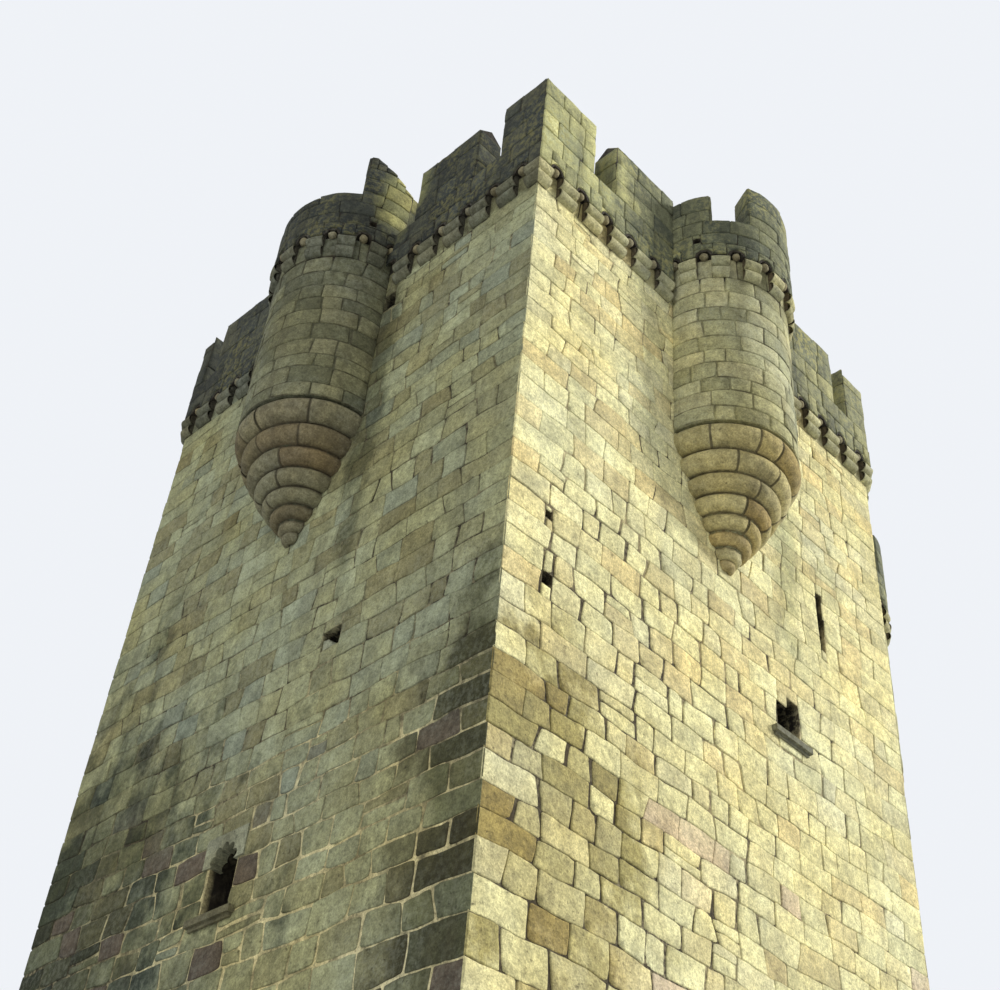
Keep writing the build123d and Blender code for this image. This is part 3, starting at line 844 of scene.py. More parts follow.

# Each stone: colours of its blocks and how weathered they are. A sunny and a shaded copy of one stone differ
# by painted sun and painted shade in their tones. A blotch is (centre, size, tint, whether it takes some
# stones more than others): a real stain, or painted light or shade as noted by each material.
STONES = {
    "ashlar_sunny": dict(
        tones=[(0.70, 0.59, 0.29), (0.77, 0.69, 0.35), (0.79, 0.74, 0.39), (0.80, 0.75, 0.40),
               (0.74, 0.69, 0.40)],
        levels=(0.3, 0.15, 0.2, 0.0), lichen=YELLOW_LICHEN, rare=(0.56, 0.45, 0.29),
        stains_and_painted_light=[((PROW.x + 1.0, PROW.y, 11.4), (3.1, 1.5, 3.5), (0.43, 0.40, 0.29), True),
                (*CORBEL_SHADE, (0.55, 0.53, 0.48), False),
                ((PROW.x + 7.45, PROW.y, 20.0), (0.5, 1.0, 3.2), (0.68, 0.7, 0.68), False)]),
    # Right side wall: the sunny tones darkened as painted shade, since the key light falls on it more
    # squarely.
    "ashlar_side": dict(
        tones=[(0.43, 0.36, 0.18), (0.48, 0.42, 0.22), (0.49, 0.46, 0.25), (0.50, 0.47, 0.26),
               (0.45, 0.42, 0.25)],
        levels=(0.3, 0.2, 0.2, 0.0), lichen=YELLOW_LICHEN, rare=(0.33, 0.26, 0.17),
        stains_and_painted_light=[(*CORBEL_SHADE, (0.55, 0.53, 0.48), False)]),
    # Shaded copy, with painted shade in its tones; its third and fourth blotches add painted shade low by the
    # shoulder.
    "ashlar_shaded": dict(
        tones=[(0.27, 0.25, 0.125), (0.345, 0.34, 0.18), (0.38, 0.385, 0.21), (0.42, 0.435, 0.25),
               (0.32, 0.35, 0.235)],
        levels=(0.45, 0.3, 0.3, 0.0), rare=(0.125, 0.10, 0.07),
        stains_and_painted_light=[((PROW.x, PROW.y + 0.3, 11.2), (1.5, 1.8, 4.6), (0.31, 0.30, 0.28), True),
                ((PROW.x, PROW.y + 0.1, 11.0), (1.5, 1.2, 4.4), (0.52, 0.53, 0.47), False),
                ((PROW.x, PROW.y + 11.0, 7.0), (2.0, 6.4, 9.8), (0.42, 0.44, 0.43), False),
                ((PROW.x, PROW.y + 10.5, 7.5), (1.6, 6.4, 9.4), (0.30, 0.33, 0.34), True),
                (*CORBEL_SHADE, (0.5, 0.48, 0.44), False),
                ((PROW.x, PROW.y + 4.0, 20.6), (1.0, 0.5, 4.0), (0.4, 0.41, 0.4), False)]),
    "frame_stone": dict(tones=[(0.36, 0.37, 0.25)], levels=(0.3, 0.2, 0.2, 0.0)),
    "sill_stone": dict(tones=[(0.20, 0.19, 0.115)], levels=(0.3, 0.2, 0.2, 0.0)),
    # Painted shadow and lichen darken these tones; the two blotches are painted sunlight by the prow and at
    # the far end.
    "parapet_sunny": dict(
        tones=[(0.105, 0.118, 0.085), (0.155, 0.168, 0.108), (0.21, 0.22, 0.13)],
        levels=(0.2, 0.85, 0.7, 0.0), dirt=(0.04, 0.045, 0.038), lichen=YELLOW_LICHEN,
        stains_and_painted_light=[((PROW.x + 0.7, PROW.y, 25.6), (2.0, 0.8, 2.8), (3.1, 2.85, 2.2), False),
                ((PROW.x + 10.0, PROW.y, 26.0), (2.5, 1.5, 2.2), (2.0, 1.85, 1.6), False)]),
    # Painted shade and dark lichen in these tones; the blotch is painted sunlight with yellow lichen on the
    # bartizan's flank.
    "parapet_shaded": dict(
        tones=[(0.045, 0.05, 0.043), (0.062, 0.07, 0.06), (0.09, 0.092, 0.065)],
        levels=(0.2, 0.7, 0.6, 0.0), dirt=(0.02, 0.022, 0.018), lichen=(0.19, 0.175, 0.065),
        stains_and_painted_light=[((PROW.x - 0.2, PROW.y + 3.95, 26.7), (0.6, 0.8, 1.2), (5.0, 4.6, 2.6), False)]),
    # Sunny and shaded copies of the drum, ring and roll stones: painted sun and painted shade in their tones.
    "drum_sunny": dict(tones=[(0.31, 0.30, 0.155), (0.43, 0.42, 0.23), (0.52, 0.49, 0.27)],
                       levels=(0.75, 0.35, 0.4, 0.0)),
    "drum_shaded": dict(tones=[(0.13, 0.135, 0.082), (0.20, 0.205, 0.12), (0.27, 0.265, 0.155)],
                        levels=(0.8, 0.35, 0.4, 0.0)),
    "rings_sunny": dict(tones=[(0.38, 0.29, 0.12), (0.44, 0.385, 0.18), (0.50, 0.445, 0.23)],
                        levels=(0.8, 0.25, 0.35, 0.85)),
    "rings_shaded": dict(tones=[(0.21, 0.165, 0.09), (0.235, 0.215, 0.13), (0.28, 0.27, 0.165)],
                         levels=(0.8, 0.3, 0.45, 0.85)),
    "rolls_sunny": dict(tones=[(0.40, 0.39, 0.22), (0.56, 0.53, 0.30)], levels=(0.45, 0.3, 0.4, 1.0)),
    "rolls_shaded": dict(tones=[(0.13, 0.135, 0.09), (0.22, 0.215, 0.135)], levels=(0.6, 0.4, 0.4, 1.0)),
    # Niches between the corbels: dark with painted shade in the recesses and some staining.
    "niche_sunny": dict(tones=[(0.13, 0.105, 0.06)], levels=(0.0, 0.2, 0.3, 0.0)),
    "niche_shaded": dict(tones=[(0.075, 0.068, 0.045)], levels=(0.0, 0.2, 0.3, 0.0)),
    # Painted shade in the arches round the balls.
    "arch_soot": dict(tones=[(0.05, 0.042, 0.03)], levels=(0.0, 0.2, 0.0, 0.0)),
    "ball_stone": dict(tones=[(0.32, 0.28, 0.16)], levels=(0.0, 0.3, 0.2, 0.0)),
    "floor_stone": dict(tones=[(0.17, 0.16, 0.115), (0.24, 0.22, 0.15)], levels=(0.5, 0.4, 0.4, 0.0)),
}


# Masonry styles. A joint gives half the widths of a stone's upright and bed joints, and how worn its
# corners are.

def plain_joint(width, gaping):
    """Thin joints, of which a share gape."""
    def joint(s, z, rng):
        rise = width * rng.choice((0.4, 0.7, 1, 1.6))
        if rng.random() < gaping:
            return width * rng.uniform(3, 9), rise * rng.uniform(1, 3), 2.5
        return width * rng.uniform(0.4, 1.6), rise, 1
    return joint


# Above this level few joints are open
OPEN_JOINTS_TOP = 17.5


def sunny_joint(s, z, rng):
    """Front right wall: most joints closed flush, and wide washed-out ones in a band up from the prow."""
    if z < OPEN_JOINTS_TOP and rng.random() < 0.62 - 0.1 * max(0, s - 4 + 0.2 * abs(z - 10)):
        return rng.uniform(0.008, 0.046), rng.uniform(0.0, 0.014), 3
    if rng.random() < 0.16:
        return rng.uniform(0.008, 0.022), rng.uniform(0.0, 0.005), 2
    return rng.choice((-0.002, -0.002, 0.001, 0.003)), rng.choice((-0.002, -0.002, -0.002, 0.002)), 0.8


def shaded_joint(s, z, rng):
    """Front left wall: wide pointed joints low down, open ones near the prow and thin ones elsewhere."""
    if z < 13.4 - 0.25 * max(0, 5 - s) + rng.uniform(-0.6, 0.6):
        return rng.choice((0.003, 0.008, 0.02, 0.036)), rng.choice((0.002, 0.008, 0.016, 0.03)), 3.5
    near_prow = s > FRONT_LENGTH - 1.6 and z < OPEN_JOINTS_TOP
    if rng.random() < (0.6 if near_prow else 0.26):
        return rng.uniform(0.008, 0.028), rng.choice((0.001, 0.003, 0.012)), 2.5
    return rng.choice((-0.001, 0.001, 0.002, 0.004)), rng.choice((-0.001, 0.001, 0.002, 0.004)), 1


WALL_STYLE = {
    "length": 0.68, "taper": 0.35, "wander": 0.06, "lean": 0.022, "split": 0.06, "knocked": 0.2,
    "joint": plain_joint(0.0025, 0.15), "grid": 0.2, "quoin": (1.05, 0.6), "wobble": 0.036, "unit": 1.0,
}
PARAPET_STYLE = {
    **WALL_STYLE, "length": 0.6, "taper": 0.0, "wander": 0.0, "split": 0.0, "lean": 0.004, "grid": 0.15,
    "joint": plain_joint(0.0015, 0.06), "wobble": 0.014,
}
DRUM_STYLE = {
    **WALL_STYLE, "length": math.degrees(0.62 / DRUM_RADIUS), "taper": 0.0, "wander": 0.012, "lean": 0.2,
    "split": 0.0, "joint": plain_joint(0.0025, 0.28), "unit": math.radians(DRUM_RADIUS), "grid": 0.13,
    "wobble": 0.018,
}
ROUND_PARAPET_STYLE = {**DRUM_STYLE, "joint": plain_joint(0.0015, 0.06)}
FLOOR_STYLE = {**PARAPET_STYLE, "grid": 0.4, "joint": plain_joint(0.003, 0.1), "wobble": None}

# What the stones' node tree is given, unless a piece changes it
GEOMETRY = {
    "Depth": 0.03, "Depth spread": 0.011, "Arris wear": 0.012, "Roughness": 0.03, "Roughness scale": 3.5,
}

# How far the stones' backs stand inside the surface that they dress
SUNK = -0.006


def raise_stones(name, setting, material, slot, **changes):
    """Turns a setting into one piece of blocks."""
    inputs = {**GEOMETRY, **changes, "Seed": setting.seed}
    grow(name, setting.mesh(name + "_setting"), "Dressed stones", material, slot, inputs)


def sided(wall, name):
    """Name of the sunny or the shaded copy of a material for a wall, with painted sun or painted shade in its
    colours.
    """
    return name + ("_sunny" if wall.sunny else "_shaded")


def wall_slot(wall):
    return "buff_stone" if wall.sunny else "olive_stone"


def gap_places(wall):
    """Middles of the gaps between the corbels of a wall."""
    count = round(wall.length / CORBEL_PITCH)
    return [(n + 0.5) * wall.length / count for n in range(count)]


def lay_wall(wall, levels, seed):
    """The wall's ashlar from the ground to the corbels, open at its windows and behind the bartizan."""
    setting = Setting(seed)
    middle = wall.bartizan
    foot_bottom, foot_rise, overlap = 18.4, 2.3, 0.1

    def behind_bartizan(a, b, low, high):
        reach = DRUM_RADIUS if low > FOOT_TOP else DRUM_RADIUS * max(0, low - foot_bottom) / foot_rise
        return a > middle - reach + overlap and b < middle + reach - overlap

    holes = WINDOWS[wall.index] + HOLLOWS.get(wall.index, [])
    if wall.index == FRONT_RIGHT:
        holes = holes + [NOTCH]
    if wall.index == BACK:
        holes = holes + [(middle - DOOR_HALF_WIDTH, middle + DOOR_HALF_WIDTH, 0.0, DOOR_HEIGHT)]
    style = WALL_STYLE
    if wall.index in (FRONT_RIGHT, FRONT_LEFT):
        style = {**WALL_STYLE, "grid": 0.125, "joint": sunny_joint if wall.sunny else shaded_joint}
    parity = (wall.index % 2, (wall.index + 1) % 2 if wall.index != FRONT_LEFT else 1)
    start, end = wall.ends(0.016)
    lay_courses(setting, wall.face(SUNK), start, end, levels, style, holes, parity, behind_bartizan)
    # The right side wall's ashlar has painted shade in its tones.
    material = "ashlar_side" if wall.index == SIDE_RIGHT else sided(wall, "ashlar")
    raise_stones(wall.name + "_ashlar", setting, material, wall_slot(wall),
                 **{"Depth": 0.022, "Depth spread": 0.009, "Arris wear": 0.007 if wall.sunny else 0.01})


def fill_hollow(wall, seed):
    """A broken stone left in the corner of the front left wall's lower hollow, so that it reads as a hook."""
    setting = Setting(seed)
    left, right, low, high = HOLLOWS[wall.index][0]
    quad = [(left - 0.03, low - 0.03), (left + 0.27, low - 0.03), (left + 0.24, low + 0.2),
            (left - 0.03, low + 0.24)]
    setting.add(wall.face(-0.19), quad, 5, 5, (0.3, 0.25), None, (0.01, 0.05, 0.11, 0.03))
    raise_stones(wall.name + "_hollow_stone", setting, "frame_stone", wall_slot(wall),
                 **{"Depth": 0.17, "Depth spread": 0.0})


def lay_parapet(wall, seed):
    """The parapet's ashlar: outer and inner faces, crenel cheeks and sills, and the ridged copings."""
    setting = Setting(seed)
    rng = setting.rng
    inner = PROJECTION - PARAPET_THICKNESS
    middle = wall.bartizan
    low_levels = course_levels(PARAPET_BASE, SILL_LEVEL, BREAST_COURSE, rng)
    high_levels = course_levels(SILL_LEVEL, MERLON_TOP, MERLON_COURSE, rng)
    open_holes = [(a, b, SILL_LEVEL - 0.01, OPEN_ABOVE) for a, b in CRENELS[wall.index]]
    if wall.index in WORN_MERLONS:
        open_holes.append((*WORN_MERLONS[wall.index], WORN_TOP, OPEN_ABOVE))
    open_holes.append((middle - BARTIZAN_RADIUS, middle + BARTIZAN_RADIUS, 0, OPEN_ABOVE))
    arches = [p for p in gap_places(wall) if abs(p - middle) > BARTIZAN_RADIUS]
    arch_holes = [(p - ARCH_FRAME, p + ARCH_FRAME, PARAPET_BASE, PARAPET_BASE + ARCH_FRAME) for p in arches]
    outside = wall.face(PROJECTION + SUNK)
    lay_courses(setting, outside, *wall.ends(PROJECTION), low_levels + high_levels[1:], PARAPET_STYLE,
                open_holes + arch_holes)
    for place in arches:
        lay_arch(setting, outside, place, PARAPET_BASE)
    mirrored = [(wall.length - b, wall.length - a, low, high) for a, b, low, high in open_holes]
    first, last = wall.ends(inner)
    inner_levels = course_levels(TERRACE_LEVEL, SILL_LEVEL, BREAST_COURSE, rng) + high_levels[1:]
    lay_courses(setting, wall.inner_face(inner - SUNK), wall.length - last, wall.length - first, inner_levels,
                PARAPET_STYLE, mirrored)
    lay_copings(setting, wall, inner)
    for a, b in CRENELS[wall.index]:
        for s, facing in ((a + SUNK, -1), (b - SUNK, 1)):
            d0, d1 = sorted((inner * facing, PROJECTION * facing))
            lay_courses(setting, wall.across(s, facing), d0, d1, high_levels, PARAPET_STYLE)
        sill = wall.slope(PROJECTION, SILL_LEVEL + SUNK, inner, SILL_LEVEL + SUNK)
        lay_coping(setting, sill, (a, b), (a, b), False)
    raise_stones(wall.name + "_parapet_ashlar", setting, sided(wall, "parapet"), "weathered_stone",
                 Roughness=0.05)


def lay_copings(setting, wall, inner):
    """The coping stones on each merlon, mitred at the corners of the plan: sloping, or level where worn."""
    ridge = PROJECTION - PARAPET_THICKNESS / 2
    least = 0.1
    gaps = sorted(CRENELS[wall.index] + [(wall.bartizan - BARTIZAN_RADIUS, wall.bartizan + BARTIZAN_RADIUS)])
    worn_start, worn_end = WORN_MERLONS.get(wall.index, (0, 0))
    for a, b in zip([-math.inf] + [gap[1] for gap in gaps], [gap[0] for gap in gaps] + [math.inf]):
        if b - a < least:
            continue
        outer, middle, inside, base = (
            clipped(a, b, wall.ends(lift)) for lift in (PROJECTION, ridge, inner, 0))
        if worn_start <= base[0] and base[1] <= worn_end:
            surface = wall.slope(PROJECTION, WORN_TOP + SUNK, inner, WORN_TOP + SUNK)
            lay_coping(setting, surface, outer, inside, False)
            continue
        for lift, low, flip in ((PROJECTION, outer, False), (inner, inside, True)):
            surface = wall.slope(lift, MERLON_TOP + SUNK, ridge, MERLON_TOP + RIDGE_RISE + SUNK)
            lay_coping(setting, surface, low, middle, flip)


def lay_arch(setting, place, middle, low, unit=1.0):
    """The two stones that round off the square hole round a small arch. Unit is the metres in one measure."""
    def spandrel(angle, t):
        reach = ARCH_FRAME / np.maximum(np.abs(np.cos(angle)), np.sin(angle))
        radius = ARCH_RADIUS + (reach - ARCH_RADIUS) * t
        return place(middle + radius * np.cos(angle) / unit, low + radius * np.sin(angle))
    for start in (0, math.pi / 2):
        end = start + math.pi / 2
        setting.add(spandrel, [(end, 0), (start, 0), (start, 1), (end, 1)], 8, 3, (0.3, 0.1))


def clipped(a, b, ends):
    return max(a, ends[0]), min(b, ends[1])


def lay_coping(setting, surface, low, high, flip):
    """A row of stones up one slope, between its ends along the low edge and along the high edge."""
    width = low[1] - low[0]
    gap = 0.004
    parts = stone_joints(0, 1, 0.65 / width, setting.rng)
    for left, right in zip(parts, parts[1:]):
        quad = [(low[0] + width * left + gap, 0), (low[0] + width * right - gap, 0),
                (high[0] + (high[1] - high[0]) * right - gap, 1),
                (high[0] + (high[1] - high[0]) * left + gap, 1)]
        if flip:
            quad = [quad[1], quad[0], quad[3], quad[2]]
        setting.add(surface, quad, 6, 4, ((right - left) * width, 0.4))


def lay_corbels(wall, seed):
    """Round faces for the double rolls of the corbels, under the straight parapet and round the bartizan."""
    setting = Setting(seed)
    roll = (PARAPET_BASE - CORBEL_LEVEL) / 2
    first, last = wall.bartizan - BARTIZAN_RADIUS, wall.bartizan + BARTIZAN_RADIUS
    places = gap_places(wall)
    for a, b in zip([None, *places], [*places, None]):
        left = None if a is None else a + CORBEL_HALF_GAP
        right = None if b is None else b - CORBEL_HALF_GAP
        if left is None or right is None or right < first or left > last:
            for low, high in roll_lines(CORBEL_LEVEL, roll, 0.0):
                surface = wall.moulding(bulge(low, high, 0.5), left, right)
                bare = (left is None, right is None)
                setting.add(surface, upright(0, 1, 0, 1), 6, 9, (2 * CORBEL_HALF_GAP, 0.4), bare=bare)
    for n in range(-3, 4):
        bearing = n * CORBEL_TURN
        for low, high in roll_lines(BARTIZAN_CORBELS, roll, DRUM_RADIUS):
            quad = upright(bearing - CORBEL_FACET / 2, bearing + CORBEL_FACET / 2, 0, 1)
            setting.add(wall.ring(bulge(low, high, 0.5)), quad, 5, 9, (0.35, 0.4))
    raise_stones(wall.name + "_corbel_rolls", setting, sided(wall, "rolls"), "weathered_stone",
                 **{"Depth": 0.006, "Depth spread": 0.003, "Arris wear": 0.004, "Roughness": 0.03})


def roll_lines(level, roll, radius):
    """Low and high edge of each of the two rolls of a corbel: standing out and height."""
    return (
        ((radius + 0.01, level + 0.005), (radius + 0.03, level + roll - 0.015)),
        ((radius + 0.035, level + roll + 0.005), (radius + 0.085, level + 2 * roll - 0.02)),
    )


def lay_drum(wall, seed):
    """The bartizan shaft's round ashlar."""
    setting = Setting(seed)
    levels = course_levels(FOOT_TOP, BARTIZAN_CORBELS, DRUM_COURSE, setting.rng) + [BARTIZAN_BASE - 0.01]
    lay_courses(setting, wall.drum(DRUM_RADIUS + SUNK), -DRUM_END, DRUM_END, levels, DRUM_STYLE)
    raise_stones(wall.name + "_bartizan_ashlar", setting, sided(wall, "drum"), "buff_stone")


def ring_lines():
    """Edges of the foot's rings from the top down: radius and level below, radius and level above."""
    rings = []
    level, height = FOOT_TOP, FIRST_RING_HEIGHT
    step = (FOOT_RADIUS - BOSS_RADIUS) / RING_COUNT
    for n in range(RING_COUNT):
        above = FOOT_RADIUS - step * n
        rings.append(((above - step, level - height), (above, level)))
        level -= height
        height *= RING_SHRINK
    return rings


def lay_rings(wall, seed):
    """The foot's ring stones, with an open joint between each, and the boss under them."""
    setting = Setting(seed)
    rng = setting.rng
    for low, high in ring_lines():
        mean = (low[0] + high[0]) / 2
        joints = stone_joints(-RING_END, RING_END, math.degrees(0.85 / mean), rng)
        for left, right in zip(joints, joints[1:]):
            gap = math.degrees(0.003 / mean) * rng.choice((0.6, 1, 2, 4))
            width = math.radians(right - left) * mean
            columns = max(4, round(width / 0.09))
            swell = RING_SWELL * rng.uniform(0.94, 1.06)
            height = 1.2 * (high[1] - low[1])
            quad = upright(left + gap, right - gap, 0, 1)
            surface = wall.ring(bulge(low, high, swell))
            setting.add(surface, quad, columns, 12, (width, height), soft=(0.03, 0.1))
    low, high = ring_lines()[-1]
    boss = bulge((0.03, low[1] - BOSS_LENGTH), (low[0] + 0.01, low[1] + 0.02), 0.5)
    setting.add(wall.ring(boss), upright(-RING_END, RING_END, 0, 1), 14, 8, (0.5, 0.3))
    raise_stones(wall.name + "_ring_stones", setting, sided(wall, "rings"), "carved_stone",
                 **{"Depth": 0.012, "Depth spread": 0.008, "Arris wear": 0.022, "Roughness": 0.035})


def lay_bartizan_parapet(wall, seed):
    """The round parapet's ashlar, with its cheeks, sills and merlon tops."""
    setting = Setting(seed)
    rng = setting.rng
    merlons = MERLONS[wall.index]
    style = ROUND_PARAPET_STYLE
    outside = wall.drum(BARTIZAN_RADIUS + SUNK)
    top = max(merlon[2] for merlon in merlons)
    low_levels = course_levels(BARTIZAN_BASE, BARTIZAN_SILL, ROUND_COURSE, rng)
    high_levels = course_levels(BARTIZAN_SILL, top, ROUND_COURSE, rng)
    reach = math.degrees(ARCH_FRAME / BARTIZAN_RADIUS)
    holes = [(b - reach, b + reach, BARTIZAN_BASE, BARTIZAN_BASE + ARCH_FRAME) for b in GAP_BEARINGS]
    reach = math.degrees(LOOPHOLE_RADIUS / BARTIZAN_RADIUS)
    holes += [(b - reach, b + reach, *LOOPHOLE_LEVELS) for b in (-LOOPHOLE_BEARING, LOOPHOLE_BEARING)]
    gaps = crenel_bearings(merlons)
    open_holes = [(a, b, BARTIZAN_SILL - 0.01, OPEN_ABOVE) for a, b in gaps]
    open_holes += [(a, b, level, OPEN_ABOVE) for a, b, level in merlons if level < top]
    lay_courses(setting, outside, -PARAPET_END, PARAPET_END, low_levels + high_levels[1:], style,
                holes + open_holes)
    for bearing in GAP_BEARINGS:
        lay_arch(setting, outside, bearing, BARTIZAN_BASE, math.radians(BARTIZAN_RADIUS))
    mirrored = [(-b, -a, low, high) for a, b, low, high in open_holes]
    for a, b in ((-INNER_END - 1, -PARAPET_END), (PARAPET_END, INNER_END + 1)):
        mirrored.append((a, b, BARTIZAN_SILL - 0.01, OPEN_ABOVE))
    inner_levels = course_levels(TERRACE_LEVEL, BARTIZAN_SILL, PLATFORM_COURSE, rng) + high_levels[1:]
    lay_courses(setting, wall.drum_inside(INNER_RADIUS), -INNER_END, INNER_END, inner_levels, style, mirrored)
    for a, b in gaps:
        lay_ring_top(setting, wall, a, b, BARTIZAN_SILL + SUNK)
    for a, b, level in merlons:
        lay_ring_top(setting, wall, a, b, level + SUNK)
    lay_cheeks(setting, wall, merlons)
    for (a, b, level), before in zip(merlons[1:], merlons):
        if before[1] == a and 0.1 < before[2] - level < 0.3 and before[2] > WORN_TOP:
            lay_wedge(setting, wall, a, b, level, before[2])
    raise_stones(wall.name + "_bartizan_parapet_ashlar", setting, sided(wall, "parapet"), "weathered_stone",
                 Roughness=0.05)


def lay_wedge(setting, wall, start, end, low, high):
    """Fills the corner over one step of a worn merlon, so that its top runs as a slope."""
    tip = low + 0.03
    outside, inside = wall.drum(BARTIZAN_RADIUS + SUNK), wall.drum_inside(INNER_RADIUS)
    setting.add(outside, [(start, low), (end, low), (end, tip), (start, high)], 4, 3, (0.3, 0.2))
    setting.add(inside, [(-end, low), (-start, low), (-start, high), (-end, tip)], 4, 3, (0.3, 0.2))
    fall = (high - tip) / (end - start)

    def top(bearing, t):
        radius = BARTIZAN_RADIUS + (PLATFORM_RADIUS - BARTIZAN_RADIUS) * t
        return wall.drum(radius.reshape(-1, 1))(bearing, high + SUNK - (bearing - start) * fall)
    setting.add(top, upright(start, end, 0, 1), 4, 4, (0.3, 0.5))


def lay_cheeks(setting, wall, merlons):
    """The upright ends of the round parapet's merlons, wherever one stands above its neighbour."""
    least = 0.12
    steps = [(-PARAPET_END, -PARAPET_END, BARTIZAN_SILL), *merlons, (PARAPET_END, PARAPET_END, BARTIZAN_SILL)]
    for before, after in zip(steps, steps[1:]):
        sides = [(before[1], -1, BARTIZAN_SILL, before[2]), (after[0], 1, BARTIZAN_SILL, after[2])]
        if before[1] == after[0]:
            low, high = sorted((before[2], after[2]))
            sides = [(after[0], -1 if before[2] > after[2] else 1, low, high)]
        for bearing, facing, low, high in sides:
            if abs(bearing) < PARAPET_END and high - low > least:
                d0, d1 = sorted((PLATFORM_RADIUS * facing, BARTIZAN_RADIUS * facing))
                levels = course_levels(low, high, ROUND_COURSE, setting.rng)
                lay_courses(setting, wall.drum_cheek(bearing, facing), d0, d1, levels, PARAPET_STYLE)


def crenel_bearings(merlons):
    """Gaps between the merlons of a round parapet, from edge to edge."""
    gaps = []
    cursor = -PARAPET_END
    for start, end, level in merlons:
        if start > cursor:
            gaps.append((cursor, start))
        cursor = end
    if cursor < PARAPET_END:
        gaps.append((cursor, PARAPET_END))
    return gaps


def lay_ring_top(setting, wall, start, end, level):
    """A level row of stones round the top of a round parapet."""
    length, gap = 20, 0.3

    def profile(t):
        return BARTIZAN_RADIUS + (PLATFORM_RADIUS - BARTIZAN_RADIUS) * t, np.full_like(t, level)
    joints = stone_joints(start, end, length, setting.rng)
    for left, right in zip(joints, joints[1:]):
        width = math.radians(right - left) * BARTIZAN_RADIUS
        setting.add(wall.ring(profile), upright(left + gap, right - gap, 0, 1), 5, 4, (width, 0.5))


def ball_mesh(wall):
    """Points for the balls in the arches of a wall and of its bartizan."""
    middle = wall.bartizan
    height = PARAPET_BASE + 0.03
    out = 0.06
    points = []
    for place in gap_places(wall):
        if abs(place - middle) > BARTIZAN_RADIUS + 0.1:
            points.append(wall.start + wall.along * place + wall.out * out + UP * height)
    for bearing in GAP_BEARINGS:
        place = wall.axis + wall.ray(bearing)[0] * (DRUM_RADIUS + out)
        points.append(place + UP * (height + BARTIZAN_BASE - PARAPET_BASE))
    mesh = bpy.data.meshes.new(wall.name + "_ball_points")
    mesh.from_pydata([tuple(p) for p in points], [], [])
    return mesh


def width_at(corners, y):
    """Where a plan with these corners starts and ends in X at one Y."""
    crossed = []
    for a, b in zip(corners, corners[1:] + corners[:1]):
        if min(a[1], b[1]) < y < max(a[1], b[1]):
            crossed.append(a[0] + (b[0] - a[0]) * (y - a[1]) / (b[1] - a[1]))
    return min(crossed), max(crossed)


def lay_paving(seed):
    """Slabs over the terrace, in rows between the parapets' inner faces."""
    setting = Setting(seed)
    inset = PROJECTION - PARAPET_THICKNESS - 0.05
    slab_width, slab_length, least = 0.7, 0.95, 1.0
    corners = [wall.start + wall.out * inset + wall.along * wall.ends(inset)[0] for wall in WALLS]
    near, far = min(c[1] for c in corners) + 0.01, max(c[1] for c in corners) - 0.01
    rows = course_levels(near, far, slab_width, setting.rng)
    for low, high in zip(rows, rows[1:]):
        (left_low, right_low), (left_high, right_high) = width_at(corners, low), width_at(corners, high)
        left, right = max(left_low, left_high), min(right_low, right_high)
        if right - left < least:
            continue
        inner = stone_joints(left, right, slab_length, setting.rng)[1:-1]
        lows = [left_low, *inner, right_low]
        highs = [left_high, *inner, right_high]
        for n in range(len(lows) - 1):
            quad = [(lows[n], low), (lows[n + 1], low), (highs[n + 1], high), (highs[n], high)]
            lay_stone(setting, terrace_plane, quad, FLOOR_STYLE)
    raise_stones("terrace_paving", setting, "floor_stone", "weathered_stone",
                 **{"Depth": 0.014, "Depth spread": 0.001, "Arris wear": 0.0, "Roughness": 0.001})


def terrace_plane(x, y):
    return np.stack([x, y, np.full_like(x, TERRACE_LEVEL + SUNK)], axis=1)


def window_head(wall, left, right, crown):
    """Carved head of a window, cut to lobes inside and square outside, a little proud of the wall."""
    lobes, bite_share, sharpness = 5, 0.24, 0.7
    margin, lift, depth = 0.16, 0.035, 0.2
    centre, half = (left + right) / 2, (right - left) / 2
    spring = crown - 0.35
    count = 12 * lobes + 1
    points, faces = [], []
    for n in range(count):
        angle = math.pi * n / (count - 1)
        bite = bite_share * half * (1 - abs(math.sin(lobes * angle)) ** sharpness)
        inner = (centre + (half - bite) * math.cos(angle), spring + (crown - spring - bite) * math.sin(angle))
        stretch = min((half + margin) / max(abs(math.cos(angle)), 1e-6),
                      (crown - spring + margin) / max(abs(math.sin(angle)), 1e-6))
        outer = (centre + stretch * math.cos(angle), spring + stretch * math.sin(angle))
        for (s, z), out in ((inner, lift), (outer, lift), (outer, -depth), (inner, -depth)):
            points.append(tuple(wall.start + wall.along * s + wall.out * out + UP * z))
    for a in range(0, 4 * (count - 1), 4):
        for i in range(4):
            j = (i + 1) % 4
            faces.append((a + i, a + j, a + 4 + j, a + 4 + i))
    faces.append((3, 2, 1, 0))
    faces.append(tuple(4 * (count - 1) + i for i in range(4)))
    mesh = bpy.data.meshes.new(wall.name + "_window_head")
    mesh.from_pydata(points, [], faces)
    mesh.materials.append(bpy.data.materials["frame_stone"])
    piece = put(wall.name + "_window_head", mesh)
    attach(piece, "root")


# Settings, operators and panel

class KeepSettings(bpy.types.PropertyGroup):
    course_height: bpy.props.FloatProperty(
        name="Course height", description="Mean height of the walls' courses", default=0.46, unit="LENGTH")
    seed: bpy.props.IntProperty(name="Seed", description="Starting number of the stone sizes", default=11)
    ball_radius: bpy.props.FloatProperty(
        name="Ball radius", description="Radius of the balls in the small arches", default=0.1, unit="LENGTH")


